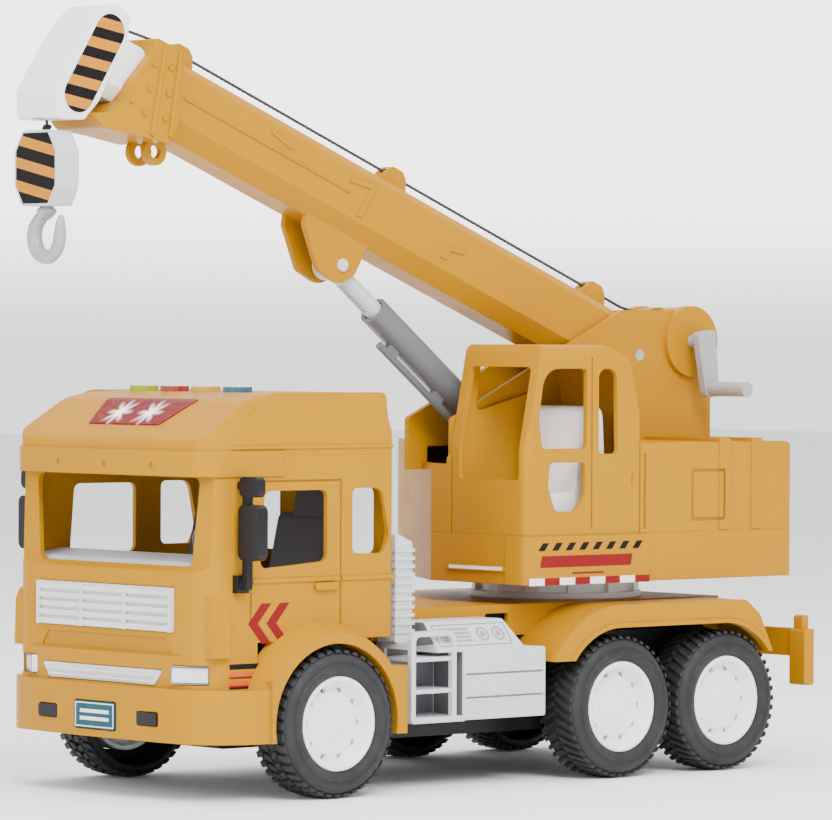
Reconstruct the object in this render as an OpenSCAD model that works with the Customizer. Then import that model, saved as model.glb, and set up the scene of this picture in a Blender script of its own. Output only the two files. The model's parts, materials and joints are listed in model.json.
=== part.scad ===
// Toy crane truck: three-axle carrier with driver's cab, slewing superstructure,
// telescopic boom on a sliding strut, hand winch and hook block.
// +X points to the front of the truck, +Y to its left, +Z up. The tyres stand on z = 0.

/* [Wheels] */
// Outer diameter of the tyres
tyre_d = 60; // [59:0.5:61]
// Width of a tyre
tyre_w = 21; // [18:0.5:21.5]
// Distance between the outer faces of a left and a right tyre
track_w = 149; // [148:0.5:150]
// Diameter of the axle rods
axle_d = 4; // [3:0.5:4.5]
// Front axle to first rear axle
wheelbase = 156.2; // [155:0.2:157]
// First rear axle to second rear axle
bogie_gap = 61.9; // [61.5:0.1:63]

/* [Driver's cab] */
// Width of the cab body over its doors
cab_w = 125; // [122:1:127]
// Width over the wheel arches and the bumper
arch_w = 146; // [144:1:147]
// Height of the roof above the ground
roof_z = 161.7; // [160:0.1:164]
// Wall thickness of the moulded shells
wall = 2.2; // [1.8:0.1:2.4]
// Travel of the sound buttons on the roof
button_travel = 1.6; // [1:0.1:2]

/* [Superstructure] */
// Width of the turret
turret_w = 124; // [122:1:125]
// Distance from the front axle back to the slewing axis
slew_back = 187.2; // [186:0.2:188]
// Height of the underside of the turret
turret_z = 81.5; // [81.4:0.1:82]
// Height of the engine housing's top
engine_z = 140; // [139:0.5:141]

/* [Boom] */
// Angle of the boom above level as it stands
boom_angle = 22; // [21.5:0.1:22.5]
// Outer width of the boom
boom_w = 24.4; // [24:0.1:24.6]
// Play between the boom section and the housing of the next one
boom_play = 0.4; // [0.3:0.05:0.6]
// Diameter of the hoist rope
rope_d = 1.3; // [1:0.1:1.5]
// Outer diameter of the strut's barrel
barrel_d = 12.6; // [12:0.1:13]

/* [Hidden] */
$fn = 64;

// Small amounts used everywhere
eps = 0.01;
fit = 0.06;
arch_steps = 5;

// The front axle in the part's own frame: it centres the whole object on the origin
front_axle_x = 91.75;
axle_z = tyre_d / 2;
axle_x = [0, -wheelbase, -wheelbase - bogie_gap];

// ---------- drawing helpers ----------

function unit(v) = v / norm(v);

// Points that round one corner of an outline with radius r
function corner(p0, p1, p2, r) =
  let (a = unit(p0 - p1), b = unit(p2 - p1), half = acos(max(-1, min(1, a * b))) / 2)
  r <= 0 || half > 89.5 ? [p1] :
  let (c = p1 + unit(a + b) * (r / sin(half)), s = p1 + a * (r / tan(half)) - c,
       e = p1 + b * (r / tan(half)) - c, turn = 180 - 2 * half)
  [for (k = [0:arch_steps]) let (t = k / arch_steps)
    c + s * (sin((1 - t) * turn) / sin(turn)) + e * (sin(t * turn) / sin(turn))];

// An outline given as [x, y, radius] corners
module outline(c) {
  n = len(c);
  polygon([for (i = [0:n - 1]) each corner(
    [c[(i + n - 1) % n].x, c[(i + n - 1) % n].y], [c[i].x, c[i].y],
    [c[(i + 1) % n].x, c[(i + 1) % n].y], c[i].z)]);
}

// A rectangle between two corners with rounded corners
module rect(x0, y0, x1, y1, r = 0) outline([[x0, y0, r], [x1, y0, r], [x1, y1, r], [x0, y1, r]]);

// Extrusions of a side view, a front view and a plan view
module side(y0, y1) translate([0, y1, 0]) rotate([90, 0, 0]) linear_extrude(y1 - y0) children();
module front(x0, x1) translate([x0, 0, 0]) rotate([90, 0, 90]) linear_extrude(x1 - x0) children();
module plan(z0, z1) translate([0, 0, z0]) linear_extrude(z1 - z0) children();

module block(a, b) translate(a) cube(b - a);
module rod_y(x, z, d, y0, y1) translate([x, y1, z]) rotate([90, 0, 0]) cylinder(d = d, h = y1 - y0);
module rod_z(x, y, d, z0, z1) translate([x, y, z0]) cylinder(d = d, h = z1 - z0);
module both() {
  children();
  mirror([0, 1, 0]) children();
}

// A rope along [x, z] points: one tube with a ring of eight sides at each point
function heading(p, i) = unit(unit(p[min(i + 1, len(p) - 1)] - p[min(i, len(p) - 2)])
  + unit(p[max(i, 1)] - p[max(i - 1, 0)]));

module rope(p) {
  k = 8;
  n = len(p);
  points = [for (i = [0:n - 1]) let (t = heading(p, i)) for (a = [0:360 / k:359])
    [p[i].x - t.y * rope_d / 2 * cos(a), rope_d / 2 * sin(a), p[i].y + t.x * rope_d / 2 * cos(a)]];
  skin = [for (i = [0:n - 2], a = [0:k - 1])
    [i * k + a, i * k + (a + 1) % k, (i + 1) * k + (a + 1) % k, (i + 1) * k + a]];
  polyhedron(points, concat(skin, [[for (a = [k - 1:-1:0]) a], [for (a = [0:k - 1]) (n - 1) * k + a]]));
}

// Everything on the truck is drawn with x measured from the front axle
module truck() translate([front_axle_x, 0, 0]) children();

// ---------- carrier ----------

frame_half = 46;
frame_z0 = 20;
frame_z1 = 60;

module chassis_frame() {
  color("#1c1c1f") truck() difference() {
    side(-frame_half, frame_half) outline([
      [-250, 26, 3], [-250, frame_z1, 0], [-100, frame_z1, 0], [-92, 44, 4], [-46, 44, 4],
      [-40, frame_z1, 0], [47, frame_z1, 0], [47, 30, 3], [38, frame_z0, 3], [-240, frame_z0, 3]
    ]);
    side(-frame_half + wall, frame_half - wall) outline([
      [-247, 27, 2], [-247, 70, 0], [-101, 70, 0], [-93, 47, 4], [-45, 47, 4],
      [-39, 70, 0], [44, 70, 0], [44, 31, 2], [37, frame_z0 + wall, 2], [-239, frame_z0 + wall, 2]
    ]);
    for (x = axle_x) rod_y(x, axle_z, axle_d + 2 * fit, -60, 60);
    for (p = screw_xy) {
      rod_z(p.x, p.y, 3, frame_z0 - 1, frame_z0 + 5);
      rod_z(p.x, p.y, head_d + 0.2, frame_z0 - 1, frame_z0 + head_h);
    }
  }
}

deck_z = 73;
deck_half = 47;
arch_half = arch_w / 2;
arch_r = 33;
arch_top = 63;
fender_r = 42.6;
fender_z = 50;

// Side view of a rear fender, t inside its outer face: round the middle wheel, flat, then down to the tail
module fender_2d(t) difference() {
  union() {
    translate([axle_x[1], axle_z]) circle(r = fender_r - t);
    outline([
      [axle_x[1], axle_z, 0], [axle_x[1], axle_z + fender_r - t, 0],
      [-231 + t / 2, axle_z + fender_r - t, 6], [-239.5 + t, 66 - t / 2, 6], [-248 + t, 49, 0],
      [-248 + t, axle_z, 0]
    ]);
  }
  rect(-300, -20, -100, t > 0 ? fender_z - 10 : fender_z);
}

module fender_arch(r, z_top) {
  for (i = [1, 2]) translate([axle_x[i], axle_z]) circle(r = r);
  polygon([[axle_x[2], axle_z], [axle_x[2], z_top], [axle_x[1], z_top], [axle_x[1], axle_z]]);
  polygon([[-260, 40], [-260, 30], [-100, 30], [-100, 40]]);
}

module chassis_deck() {
  color("#ffb600") truck() {
    difference() {
      union() {
        block([-240, -deck_half, frame_z1], [-40, deck_half, deck_z]);
        both() side(frame_half + eps, arch_half) fender_2d(0);
      }
      // hollow underside of the deck and of the two fenders
      block([-238, -deck_half + wall, 50], [-42, deck_half - wall, deck_z - 2.5]);
      both() side(deck_half, arch_half - 3) fender_2d(2.5);
      both() side(frame_half - 4, arch_half + 2) fender_arch(arch_r, arch_top);
      // hand hole in each side of the deck and the hole for the slewing spigot
      both() side(deck_half - 4, deck_half + 1) rect(-116, 65.2, -103, 69.4, 1);
      rod_z(-slew_back, 0, 10, 60, 80);
    }
    // bead along the edge of each fender
    both() side(arch_half - 3.4, arch_half + 0.7) difference() {
      union() {
        for (i = [1, 2]) translate([axle_x[i], axle_z]) circle(r = arch_r + 2);
        rect(axle_x[2], fender_z, axle_x[1], arch_top + 2);
      }
      fender_arch(arch_r, arch_top);
      rect(-300, -20, -100, fender_z);
    }
  }
}

module rear_bumper() {
  color("#ffb600") truck() {
    block([-280, -66, 46], [-275, 66, 58]);
    both() side(57, 66) rect(-280, 33.5, -274, 58, 1.5);
    both() side(58.5, 63.5) rect(-279, 57, -275, 64, 1.4);
    both() block([-276, 18, 47], [-250.01, 26, 57]);
    both() block([-251.6, 16, 42], [-250.01, 28, 59.9]);
  }
}

// ---------- wheels ----------

// The wheels are drawn on the y axis, outer face towards +y at y = 0
module tyre() {
  r = tyre_d / 2;
  rotate([-90, 0, 0]) rotate_extrude($fn = 96) outline([
    [19.1, -0.8, 0.6], [22, 0.6, 1], [26.5, 0, 2], [r, -3.6, 2], [r, 1 - tyre_w, 2], [r - 3, -tyre_w, 1],
    [r - 4.5, -tyre_w + 1, 0.5], [r - 3.4, -tyre_w + 3.5, 1], [r - 3.4, -5, 2], [26, -3.2, 1.5],
    [21.8, -3, 1], [19.1, -4.6, 0.4]
  ]);
}

module rim() {
  difference() {
    rotate([-90, 0, 0]) rotate_extrude($fn = 96) outline([
      [0, -4, 0], [5, -4, 0.8], [8, -5, 1], [12, -4.6, 1], [15, -6.5, 1], [16.8, -1, 0.8], [17.6, -0.1, 0.5],
      [19, -0.6, 0.5], [19, -13, 0.5], [17, -13, 0.5], [16.6, -9, 1], [12, -7.5, 1], [6, -7.5, 1],
      [5, -tyre_w + 1, 0.5], [0, -tyre_w + 1, 0]
    ]);
    rod_y(0, 0, axle_d, -tyre_w, -6);
    for (a = [0:36:324]) rotate([0, a, 0]) rod_y(13.7, 0, 2.3, -12, 0);
  }
}

module wheel_at(i, left) truck() translate([axle_x[i], 0, axle_z]) mirror([0, left ? 0 : 1, 0])
  translate([0, track_w / 2, 0]) children();

module tyre_pair(i) color("#3a3b3f") for (left = [true, false]) wheel_at(i, left) tyre();
module rim_pair(i) color("#f2f3f5") for (left = [true, false]) wheel_at(i, left) rim();
axle_half = track_w / 2 - 6 - eps;
module axle_node(i) color("#b9bcc0") truck() rod_y(axle_x[i], axle_z, axle_d, -axle_half, axle_half);

// ---------- friction drive ----------

gear_module = 0.65;
drive_teeth = 20;
pinion_teeth = 8;
gear_gap = (drive_teeth + pinion_teeth) / 2 * gear_module + 0.2;
drive_tilt = 150;
fly_x = -wheelbase + gear_gap * cos(drive_tilt);
fly_z = axle_z + gear_gap * sin(drive_tilt);

// Spur gear with straight-sided teeth, narrower than half the pitch for easy running
module gear_2d(n, phase) {
  r = n * gear_module / 2;
  step = 360 / n;
  polygon([for (i = [0:n - 1], q = [[-0.26, -1.15], [-0.12, 0.75], [0.12, 0.75], [0.26, -1.15]])
    let (a = phase + step * (i + q[0]), s = r + q[1] * gear_module) [s * cos(a), s * sin(a)]]);
}

module drive_gear() {
  color("#f0f0ea") truck() difference() {
    union() {
      translate([-wheelbase, 0, axle_z]) side(-4, 2) gear_2d(drive_teeth, drive_tilt);
      rod_y(-wheelbase, axle_z, 9, -7, 2);
    }
    rod_y(-wheelbase, axle_z, axle_d, -8, 8);
  }
}

module flywheel() {
  color("#9a9da3") truck() {
    translate([fly_x, 0, fly_z]) side(-4, 4.2) gear_2d(pinion_teeth, drive_tilt + 180 + 180 / pinion_teeth);
    rod_y(fly_x, fly_z, 13, 4.2, 11);
    rod_y(fly_x, fly_z, 2, -12, 14);
  }
}

box_x0 = -184;
box_x1 = -144;

module gearbox_housing() {
  color("#26272b") truck() difference() {
    block([box_x0, -13, 22.3], [box_x1, 15, 52]);
    block([box_x0 + 1.6, -11.4, 24], [box_x1 - 1.6, 13.4, 53]);
    block([-wheelbase - 8, -8, 22], [8 - wheelbase, 4, 25]);
    rod_y(-wheelbase, axle_z, axle_d + 1, -20, 20);
    rod_y(fly_x, fly_z, 2 + 2 * fit, -20, 20);
  }
}

module gearbox_cover() {
  color("#303136") truck() {
    block([box_x0, -13, 52.01], [box_x1, 15, 53.6]);
    for (x = [box_x0 + 4, box_x1 - 4], y = [-8, 10]) rod_z(x, y, 4, 53.6, 55);
  }
}

// ---------- driver's cab ----------

cab_half = cab_w / 2;
cab_rear = -39;
cab_front = 60;
bumper_x = 65.5;
bumper_z = 45;
bumper_r = 516;
bumper_corner = 30;
nose_x = 33;
lamp_x = 58.2;
lamp_y = 51.6;
lamp_turn = 30;
cab_floor_z = 63;
visor_z = 128.5;
sill_z = 137;

module cab_plan(t) outline([
  [cab_rear + t, -cab_half + t, 3], [cab_front - t, -cab_half + t, 11],
  [cab_front - t, cab_half - t, 11], [cab_rear + t, cab_half - t, 3]
]);

module cab_side(t) outline([
  [cab_rear + t, cab_floor_z, 0], [cab_rear + t, sill_z, 0], [54 - t, sill_z, 0], [55.8 - t, 93, 1.5],
  [cab_front - t, 91 - t, 1.5], [cab_front - t, 44, 0], [nose_x, 44, 0],
  [nose_x, cab_floor_z, 0]
]);

// The front in plan, t inside the outer face: slightly bowed, the bumper with round corners
module bow_plan(x, t) translate([x - bumper_r, 0]) circle(r = bumper_r - t, $fn = 256);

module bumper_plan(t) intersection() {
  bow_plan(bumper_x, t);
  outline([
    [nose_x - t, 1 + t - arch_half, 0], [bumper_x - t, 1 + t - arch_half, bumper_corner - t],
    [bumper_x - t, arch_half - 1 - t, bumper_corner - t], [nose_x - t, arch_half - 1 - t, 0]
  ]);
}

// The nose over the bumper, with a slanted face on each corner for the head lamp
module nose_plan(t) intersection() {
  bow_plan(bumper_x - 2.4, t);
  outline([
    [nose_x - t, -cab_half + t, 0], [47 - 0.3 * t, -cab_half + t, 0], [54.1 - 0.7 * t, -58.8 + 0.8 * t, 0],
    [63.8 - 1.15 * t, -42, 3], [63.8 - 1.15 * t, 42, 3], [54.1 - 0.7 * t, 58.8 - 0.8 * t, 0],
    [47 - 0.3 * t, cab_half - t, 0], [nose_x - t, cab_half - t, 0]
  ]);
}

module windows() {
  // windscreen
  front(40, 70) outline([[-49, 93, 3], [-52.5, 128.3, 3], [52.5, 128.3, 3], [49, 93, 3]]);
  // door and quarter windows
  side(-80, 80) outline([[32, 92, 3], [29.5, 123, 3], [-3, 123, 3], [-3, 94.5, 3]]);
  side(-80, 80) outline([
    [-16.4, 97, 2.5], [-16.4, 123.5, 2.5], [-32, 123.5, 5], [-36, 104, 2], [-32.5, 97, 2]
  ]);
  // rear windows
  both() front(-50, -20) rect(7, 96, 52, 124, 4);
}

module cab_shell() {
  color("#ffb600") truck() difference() {
    union() {
      intersection() {
        plan(40, sill_z) cab_plan(0);
        side(-90, 90) cab_side(0);
      }
      plan(23.5, bumper_z) bumper_plan(0);
      plan(bumper_z, 58) nose_plan(0);
      both() intersection() {
        translate([0, cab_half - 5, axle_z]) rotate([-90, 0, 0])
          cylinder(r1 = 43, r2 = 36.4, h = arch_half - cab_half + 5, $fn = 128);
        block([-37.2, 0, bumper_z], [60, 90, 80]);
      }
      both() side(cab_half - 5, arch_half) rect(-37.2, 24.5, -20, 52);
      both() side(cab_half - 5, arch_half) rect(20, 23.5, nose_x + 1, 48);
      // wind deflector blade on each front corner
      both() front(48.5, 57) outline([
        [55, 57.5, 0], [64.6, 57.5, 0], [64, 76, 2], [61, 81, 2], [55, 81, 0]
      ]);
      // waist line and door crease
      both() side(cab_half - 0.4, cab_half + 0.6) rect(-39, 86.5, 36, 88.3);
      // door handle
      both() side(cab_half - 0.4, cab_half + 1.6) rect(-8, 83, 4, 86, 1.2);
    }
    // hollow inside
    intersection() {
      plan(30, sill_z + 1) cab_plan(wall);
      side(-90, 90) union() {
        cab_side(wall);
        rect(cab_rear + wall, cab_floor_z - 10, 44, cab_floor_z + wall);
        rect(cab_rear + wall, sill_z - 2, 50, sill_z + 1);
      }
    }
    plan(20, bumper_z - wall) bumper_plan(wall);
    plan(bumper_z - wall - eps, 55.5) nose_plan(wall);
    // wheel wells, open to the inside of the arches
    both() rod_y(0, axle_z, 64, frame_half - 4, 90);
    both() side(cab_half - 8, arch_half - wall) difference() {
      union() {
        rect(-35, 20, -10, 49);
        rect(10, 20, 32, 44);
      }
      translate([0, axle_z]) circle(r = 34.4);
    }
    windows();
    // grooves of the door outline
    both() side(cab_half - 0.6, cab_half + 2) {
      rect(-10.6, 66, -9.8, 127);
      rect(36.2, 70, 37, 127);
      rect(-10.6, 126.4, 37, 127.2);
    }
    // recessed panel under the upper grille and the pockets of the lower grille, lamps and plate
    front(59.4, 70) outline([[-38, 64.5, 0], [38, 64.5, 0], [42, 58.6, 0], [-42, 58.6, 0]]);
    front(60.2, 70) outline([[-39, 52.3, 1], [39, 52.3, 1], [34, 45.6, 1], [-34, 45.6, 1]]);
    front(63.6, 70) rect(-13.4, 26.4, 13.4, 38.1, 1);
    both() front(62.6, 70) rect(25.6, 29.6, 38.4, 35.4, 1);
    both() at_lamp() front(-1.4, 10) rect(-8.7, 46.6, 8.7, 54.4, 1);
    front(cab_front - 1, 70) rect(-43.4, 66.9, 43.4, 84.9, 1);
  }
}

module roof_plan(t) outline([
  [cab_rear + t, -cab_half + t, 3], [cab_front + 0.6 - t, -cab_half + t, 11],
  [cab_front + 0.6 - t, cab_half - t, 11], [cab_rear + t, cab_half - t, 3]
]);

module roof_side(t) outline([
  [cab_rear + t, sill_z, 0], [cab_rear + t, 142, 0], [-36.2 + t, roof_z - t, 3],
  [25, roof_z - t, 14], [37 - t / 2, 158.3 - t, 14], [59.6 - t, 143.2 - t, 3], [60.6 - t, sill_z, 0]
]);

module roof_front(t) outline([
  [-cab_half + t, sill_z, 0], [-cab_half + t, 141, 2], [-57.5 + t, roof_z - 1 - t, 6],
  [-40, roof_z - t + 0.4, 0], [40, roof_z - t + 0.4, 0],
  [57.5 - t, roof_z - 1 - t, 6], [cab_half - t, 141, 2], [cab_half - t, sill_z, 0]
]);

button_x = 17;
button_d = 12;
button_y = [-30, -10, 10, 30];
board_z = 152;

module cab_roof() {
  color("#ffb600") truck() difference() {
    union() {
      intersection() {
        plan(sill_z, 170) roof_plan(0);
        side(-90, 90) roof_side(0);
        front(-90, 90) roof_front(0);
      }
      // visor band, a collar that slips over the top of the cab
      plan(visor_z + 0.3, sill_z + 2) outline([
        [20, -cab_half - 0.8, 0], [cab_front + 1.4, -cab_half - 0.8, 11.5],
        [cab_front + 1.4, cab_half + 0.8, 11.5], [20, cab_half + 0.8, 0]
      ]);
      // side fairings that carry the roof line back
      both() side(cab_half - 5, cab_half - 2.2) outline([
        [-38.4, 141, 0], [-36, roof_z + 0.2, 3], [24, roof_z + 0.2, 12], [44, 146, 6], [50, 141, 0]
      ]);
      plan(139.6, 141) outline([
        [cab_rear - 0.4, -cab_half - 0.5, 3], [54, -cab_half - 0.5, 9], [54, cab_half + 0.5, 9],
        [cab_rear - 0.4, cab_half + 0.5, 3]
      ]);
    }
    intersection() {
      plan(sill_z - 1, 170) roof_plan(wall);
      side(-90, 90) roof_side(wall);
      front(-90, 90) roof_front(wall);
    }
    plan(120, sill_z + 1) roof_plan(wall);
    plan(120, sill_z) cab_plan(-0.05);
    for (y = button_y) rod_z(button_x, y, button_d + 0.6, 155, 170);
    // window of the red lamp lens
    lens_cut(0.1);
    // three rivets' seats along the visor
    for (y = [-30, 0, 30]) translate([cab_front + 1.4, y, 133]) rotate([0, 90, 0])
      cylinder(d = 2.4, h = 1.2, center = true);
  }
}

// Red lens let into the sloping front of the roof, wider at the top; g is the gap around it
module lens_cut(g) plan(140, 175) outline([
  [51.6 + g, -22.6 - g, 1.5], [51.6 + g, 22.6 + g, 1.5], [35.5 - g, 29.6 + g, 1.5],
  [35.5 - g, -29.6 - g, 1.5]
]);

module roof_lamp_lens() {
  color("#d7261e") truck() intersection() {
    lens_cut(0);
    difference() {
      side(-90, 90) roof_side(-0.3);
      side(-90, 90) roof_side(wall);
    }
  }
}

module circuit_board() {
  color("#1f7a3a") truck() {
    difference() {
      block([-12, -38, board_z], [26, 38, board_z + 1.4]);
      for (x = [-9, 23], y = [-34, 34]) rod_z(x, y, 2.6, board_z - 1, board_z + 2);
    }
    // tactile switch under each button, the sound chip and the two lamps
    for (y = button_y) block([button_x - 3, y - 3, board_z + 1.4], [button_x + 3, y + 3, board_z + 3]);
    rod_z(-2, 0, 12, board_z + 1.4, board_z + 2.6);
  }
}

module speaker() {
  color("#4a4d52") truck() {
    rod_z(-20, 0, 28, 147.6, 151.6);
    rod_z(-20, 0, 14, 145, 147.6);
  }
}

module button_cells() {
  color("#c9ccd0") truck() for (x = [-8, 5, 18]) rod_z(x, 24, 11.6, board_z - 5.6, board_z - 0.2);
}

module button(y, tint) {
  color(tint) truck() {
    rod_z(button_x, y, button_d, 158.2, roof_z + 2.2);
    rod_z(button_x, y, 3, board_z + 3.05 + button_travel, 158.4);
    rod_z(button_x, y, button_d + 2.4, 158.2, roof_z - wall - 0.1);
  }
}

// Floor, dashboard and the two seats are one moulding
module cab_interior() {
  color("#b7babf") truck() {
    plan(65.3, 67.3) rect(cab_rear + 2.6, 2.7 - cab_half, 44, cab_half - 2.7, 3);
    intersection() {
      side(-cab_half + 3, cab_half - 3) outline([
        [30, 66, 0], [34, 84, 3], [31, 92, 2], [37, 97, 2], [51, 94.5, 2], [55.6, 88.5, 1], [55.6, 66, 0]
      ]);
      plan(60, 100) cab_plan(wall + 0.4);
    }
    both() side(10, 44) outline([
      [-30, 67, 2], [6, 67, 3], [8, 78, 4], [-14, 77, 3], [-22, 112, 4], [-31, 113, 4], [-24, 80, 3]
    ]);
    both() side(18, 36) outline([[-31, 111, 0], [-22.5, 111, 0], [-25, 123, 3], [-32.5, 123, 3]]);
  }
}

module steering_wheel() {
  color("#303236") truck() translate([25, 27, 97]) rotate([0, -62, 0]) {
    rotate_extrude() translate([11.5, 0]) circle(d = 3);
    cylinder(d = 6, h = 2.6, center = true);
    for (a = [90, 210, 330]) rotate(a) block([0, -1.2, -0.8], [11.5, 1.2, 0.8]);
    translate([0, 0, -7.8]) cylinder(d = 4, h = 7);
  }
}

module grilles() {
  color("#d9dbdd") truck() {
    front(cab_front - 0.99, cab_front + 0.5) rect(-43.2, 67.1, 43.2, 84.7, 1);
    for (z = [67.5:3.5:82]) front(cab_front + 0.5, cab_front + 1.8) rect(-43.2, z, 43.2, z + 2.2);
    for (y = [-43.2, -15, 13, 41.8]) front(cab_front + 0.5, cab_front + 2.2) rect(y, 67.1, y + 1.4, 84.7);
    front(60.21, 62.4) outline([[-38.6, 52, 1], [38.6, 52, 1], [33.8, 45.9, 1], [-33.8, 45.9, 1]]);
    for (z = [46.8, 49.2]) front(62.4, 63.2) rect(-34, z, 34, z + 1.2, 0);
  }
}

module at_lamp() translate([lamp_x, lamp_y, 0]) rotate(lamp_turn) children();

module headlamps() {
  color("#e4e6e8") truck() both() at_lamp() front(-1.39, 0.9) rect(-8.4, 46.9, 8.4, 54.1, 1);
}

module fog_lamps() color("#1b1b1d") truck() both() front(62.61, 64.9) rect(25.9, 29.9, 38.1, 35.1, 1);

module number_plate() color("#1f7f8c") truck() front(63.61, 65.9) rect(-13, 26.8, 13, 37.7, 1);

module wing_mirror() {
  // bracket low on the door pillar, arm, main glass and small convex glass
  block([40, cab_half + 0.01, 83], [46, cab_half + 3, 90]);
  block([41.5, cab_half + 2.9, 84.5], [44.5, cab_half + 6, 88.5]);
  side(cab_half + 4, cab_half + 7) rect(41.5, 84.5, 44.5, 128, 1);
  front(40.5, 45.5) rect(cab_half + 2.6, 96, cab_half + 15, 118, 3);
  front(41, 45) rect(cab_half + 2.6, 121, cab_half + 14, 129, 2.5);
  block([41.5, cab_half + 0.9, 124], [44.5, cab_half + 6, 127]);
}

module mirrors() color("#141416") truck() both() wing_mirror();

module air_intakes() {
  color("#c4c7cb") truck() both() difference() {
    union() {
      side(50, 61) outline([[-50, 60.2, 1], [-40.8, 60.2, 1], [-40.8, 105, 1], [-50, 101, 1.5]]);
      for (z = [64:3.3:98]) block([-50.8, 49.4, z], [-40.4, 61.8, z + 1.5]);
    }
    side(51.5, 59.5) outline([[-48.5, 62, 0], [-42.3, 62, 0], [-42.3, 110, 0], [-48.5, 110, 0]]);
  }
}

// Steps and tool locker on the side of the frame
module side_unit() {
  difference() {
    union() {
      // locker with a leaning upper face
      intersection() {
        side(deck_half + eps, 70) outline([
          [-70, 28, 1], [-116, 28, 1], [-116, 56.6, 1], [-104, 57.2, 0], [-99, 68.4, 1], [-56, 68.4, 2],
          [-56, 56, 0], [-70, 56, 0]
        ]);
        front(-120, -40) outline([
          [deck_half, 20, 0], [70, 20, 0], [70, 57, 1], [61.5, 68.4, 1], [deck_half, 68.4, 0]
        ]);
      }
      // back wall and foot of the steps
      block([-71, deck_half + eps, 28], [-43, 52, 60]);
      block([-71, 50, 27.6], [-43, 70, 30]);
    }
    // hollow of the locker, open behind
    side(deck_half - 1, 67.5) rect(-113.5, 30.5, -73, 54.5, 1);
    // grooves across the locker
    for (z = [36.6, 46.2]) block([-115, 69.4, z], [-71.6, 71, z + 0.8]);
  }
  // two hoops that carry the rungs
  for (x = [-44.3, -66.5]) side(67.6, 70) rect(x, 28, x + 2.4, 62, 1);
  side(67.6, 70) outline([[-66.5, 58, 0], [-66.5, 65, 4.5], [-41.9, 65, 4.5], [-41.9, 58, 0], [-44.3, 58, 0],
    [-44.3, 62.8, 2.4], [-64.1, 62.8, 2.4], [-64.1, 58, 0]]);
  block([-44.3, 51, 57.6], [-41.9, 68.6, 60]);
  for (z = [39.6, 52.6]) block([-65.5, 51, z], [-43, 69.4, z + 1.8]);
}

module side_units() color("#c6c8cc") truck() both() side_unit();

// ---------- superstructure ----------

slew_x = -slew_back;
turret_half = turret_w / 2;
turret_rear = -271;
turret_front = -112;
band_z = 102;
cheek_in = boom_w / 2 + 0.5;
cheek_out = cheek_in + 2.6;
spigot_d = 16;

module slewing_ring() {
  color("#cfd2d6") truck() difference() {
    union() {
      rod_z(slew_x, 0, 74, deck_z + eps, deck_z + 2.4);
      rod_z(slew_x, 0, 68, deck_z + 2.4, turret_z - 0.3);
      rod_z(slew_x, 0, spigot_d, turret_z - 0.3, turret_z + 3.4);
      for (a = [0:30:330]) translate([slew_x, 0, 0]) rotate(a)
        block([30, -3, deck_z + 2], [36.4, 3, turret_z - 1.4]);
    }
    rod_z(slew_x, 0, 3, deck_z, 100);
    // moulded hollow underneath
    translate([slew_x, 0, deck_z - 1]) difference() {
      cylinder(d = 60, h = 6);
      cylinder(d = 20, h = 6);
    }
  }
}

module turret_retainer() {
  color("#b9bcc0") truck() {
    rod_z(slew_x, 0, 24, turret_z + 3.41, turret_z + 4.6);
    rod_z(slew_x, 0, 7, turret_z + 4.6, turret_z + 7);
    rod_z(slew_x, 0, 3, deck_z + 2, turret_z + 4.6);
  }
}

module turret_plan(t) outline([
  [turret_front - t, turret_half - t, 4], [turret_front - t, 3, 3], [-150 - t, -turret_half + t, 6],
  [turret_rear + t, -turret_half + t, 4], [turret_rear + t, turret_half - t, 4]
]);

module turret_base() {
  color("#ffb600") truck() {
    difference() {
      union() {
        plan(turret_z, band_z) intersection() {
          turret_plan(0);
          outline([
            [-300, 80, 0], [-300, -80, 0], [-162, -80, 0], [-111, 0, 4], [-100, 0, 0], [-100, 80, 0]
          ]);
        }
        // raised band under the operator's cab
        plan(turret_z, band_z - 0.4) outline([
          [-183, 50, 0], [-183, turret_half + 0.7, 0.4], [turret_front + 0.7, turret_half + 0.7, 4],
          [turret_front + 0.7, 50, 0]
        ]);
        front(turret_front - 1, turret_front + 0.9) rect(14, 86.6, 50, 89, 0.8);
      }
      plan(turret_z + 3, band_z + 1) intersection() {
        turret_plan(wall);
        outline([[-300, 80, 0], [-300, -80, 0], [-164.5, -80, 0], [-113.5, 0, 2], [-113.5, 80, 0]]);
      }
      rod_z(slew_x, 0, spigot_d + 2 * fit, 70, 90);
    }
    // bracket for the foot of the strut, each side of the barrel's eye
    for (s = [-1, 1]) difference() {
      side(s * 6.6 - 1.4, s * 6.6 + 1.4) outline([
        [strut_x - 16, turret_z + 2.9, 0], [strut_x - 6.5, strut_z + 6.5, 6],
        [strut_x + 6.5, strut_z + 6.5, 6], [strut_x + 10, turret_z + 2.9, 0]
      ]);
      rod_y(strut_x, strut_z, 3.2, -20, 20);
      rod_z(slew_x, 0, 26, 80, turret_z + 8);
    }
  }
}

module rear_plan(t) outline([
  [-178.3 - t, turret_half - t, 1], [turret_rear + t, turret_half - t, 4],
  [turret_rear + t, -turret_half + t, 4], [-150 - t, -turret_half + t, 6], [turret_front - t, 3, 3],
  [turret_front - t, cheek_out, 0], [-178.3 - t, cheek_out, 0]
]);

module body_side(t) outline([
  [turret_front - t, band_z + eps, 0], [turret_front - t, 133, 2], [turret_front - 4 - t, engine_z - t, 3],
  [turret_rear + t, engine_z - t, 6], [turret_rear + t, band_z + eps, 0]
]);

pivot_x = -222.5;
pivot_z = 177;
drum_x = -252.6;
drum_z = 183;
drum_r = 7.5;
shaft_d = 6;
pin_d = 5;

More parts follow.
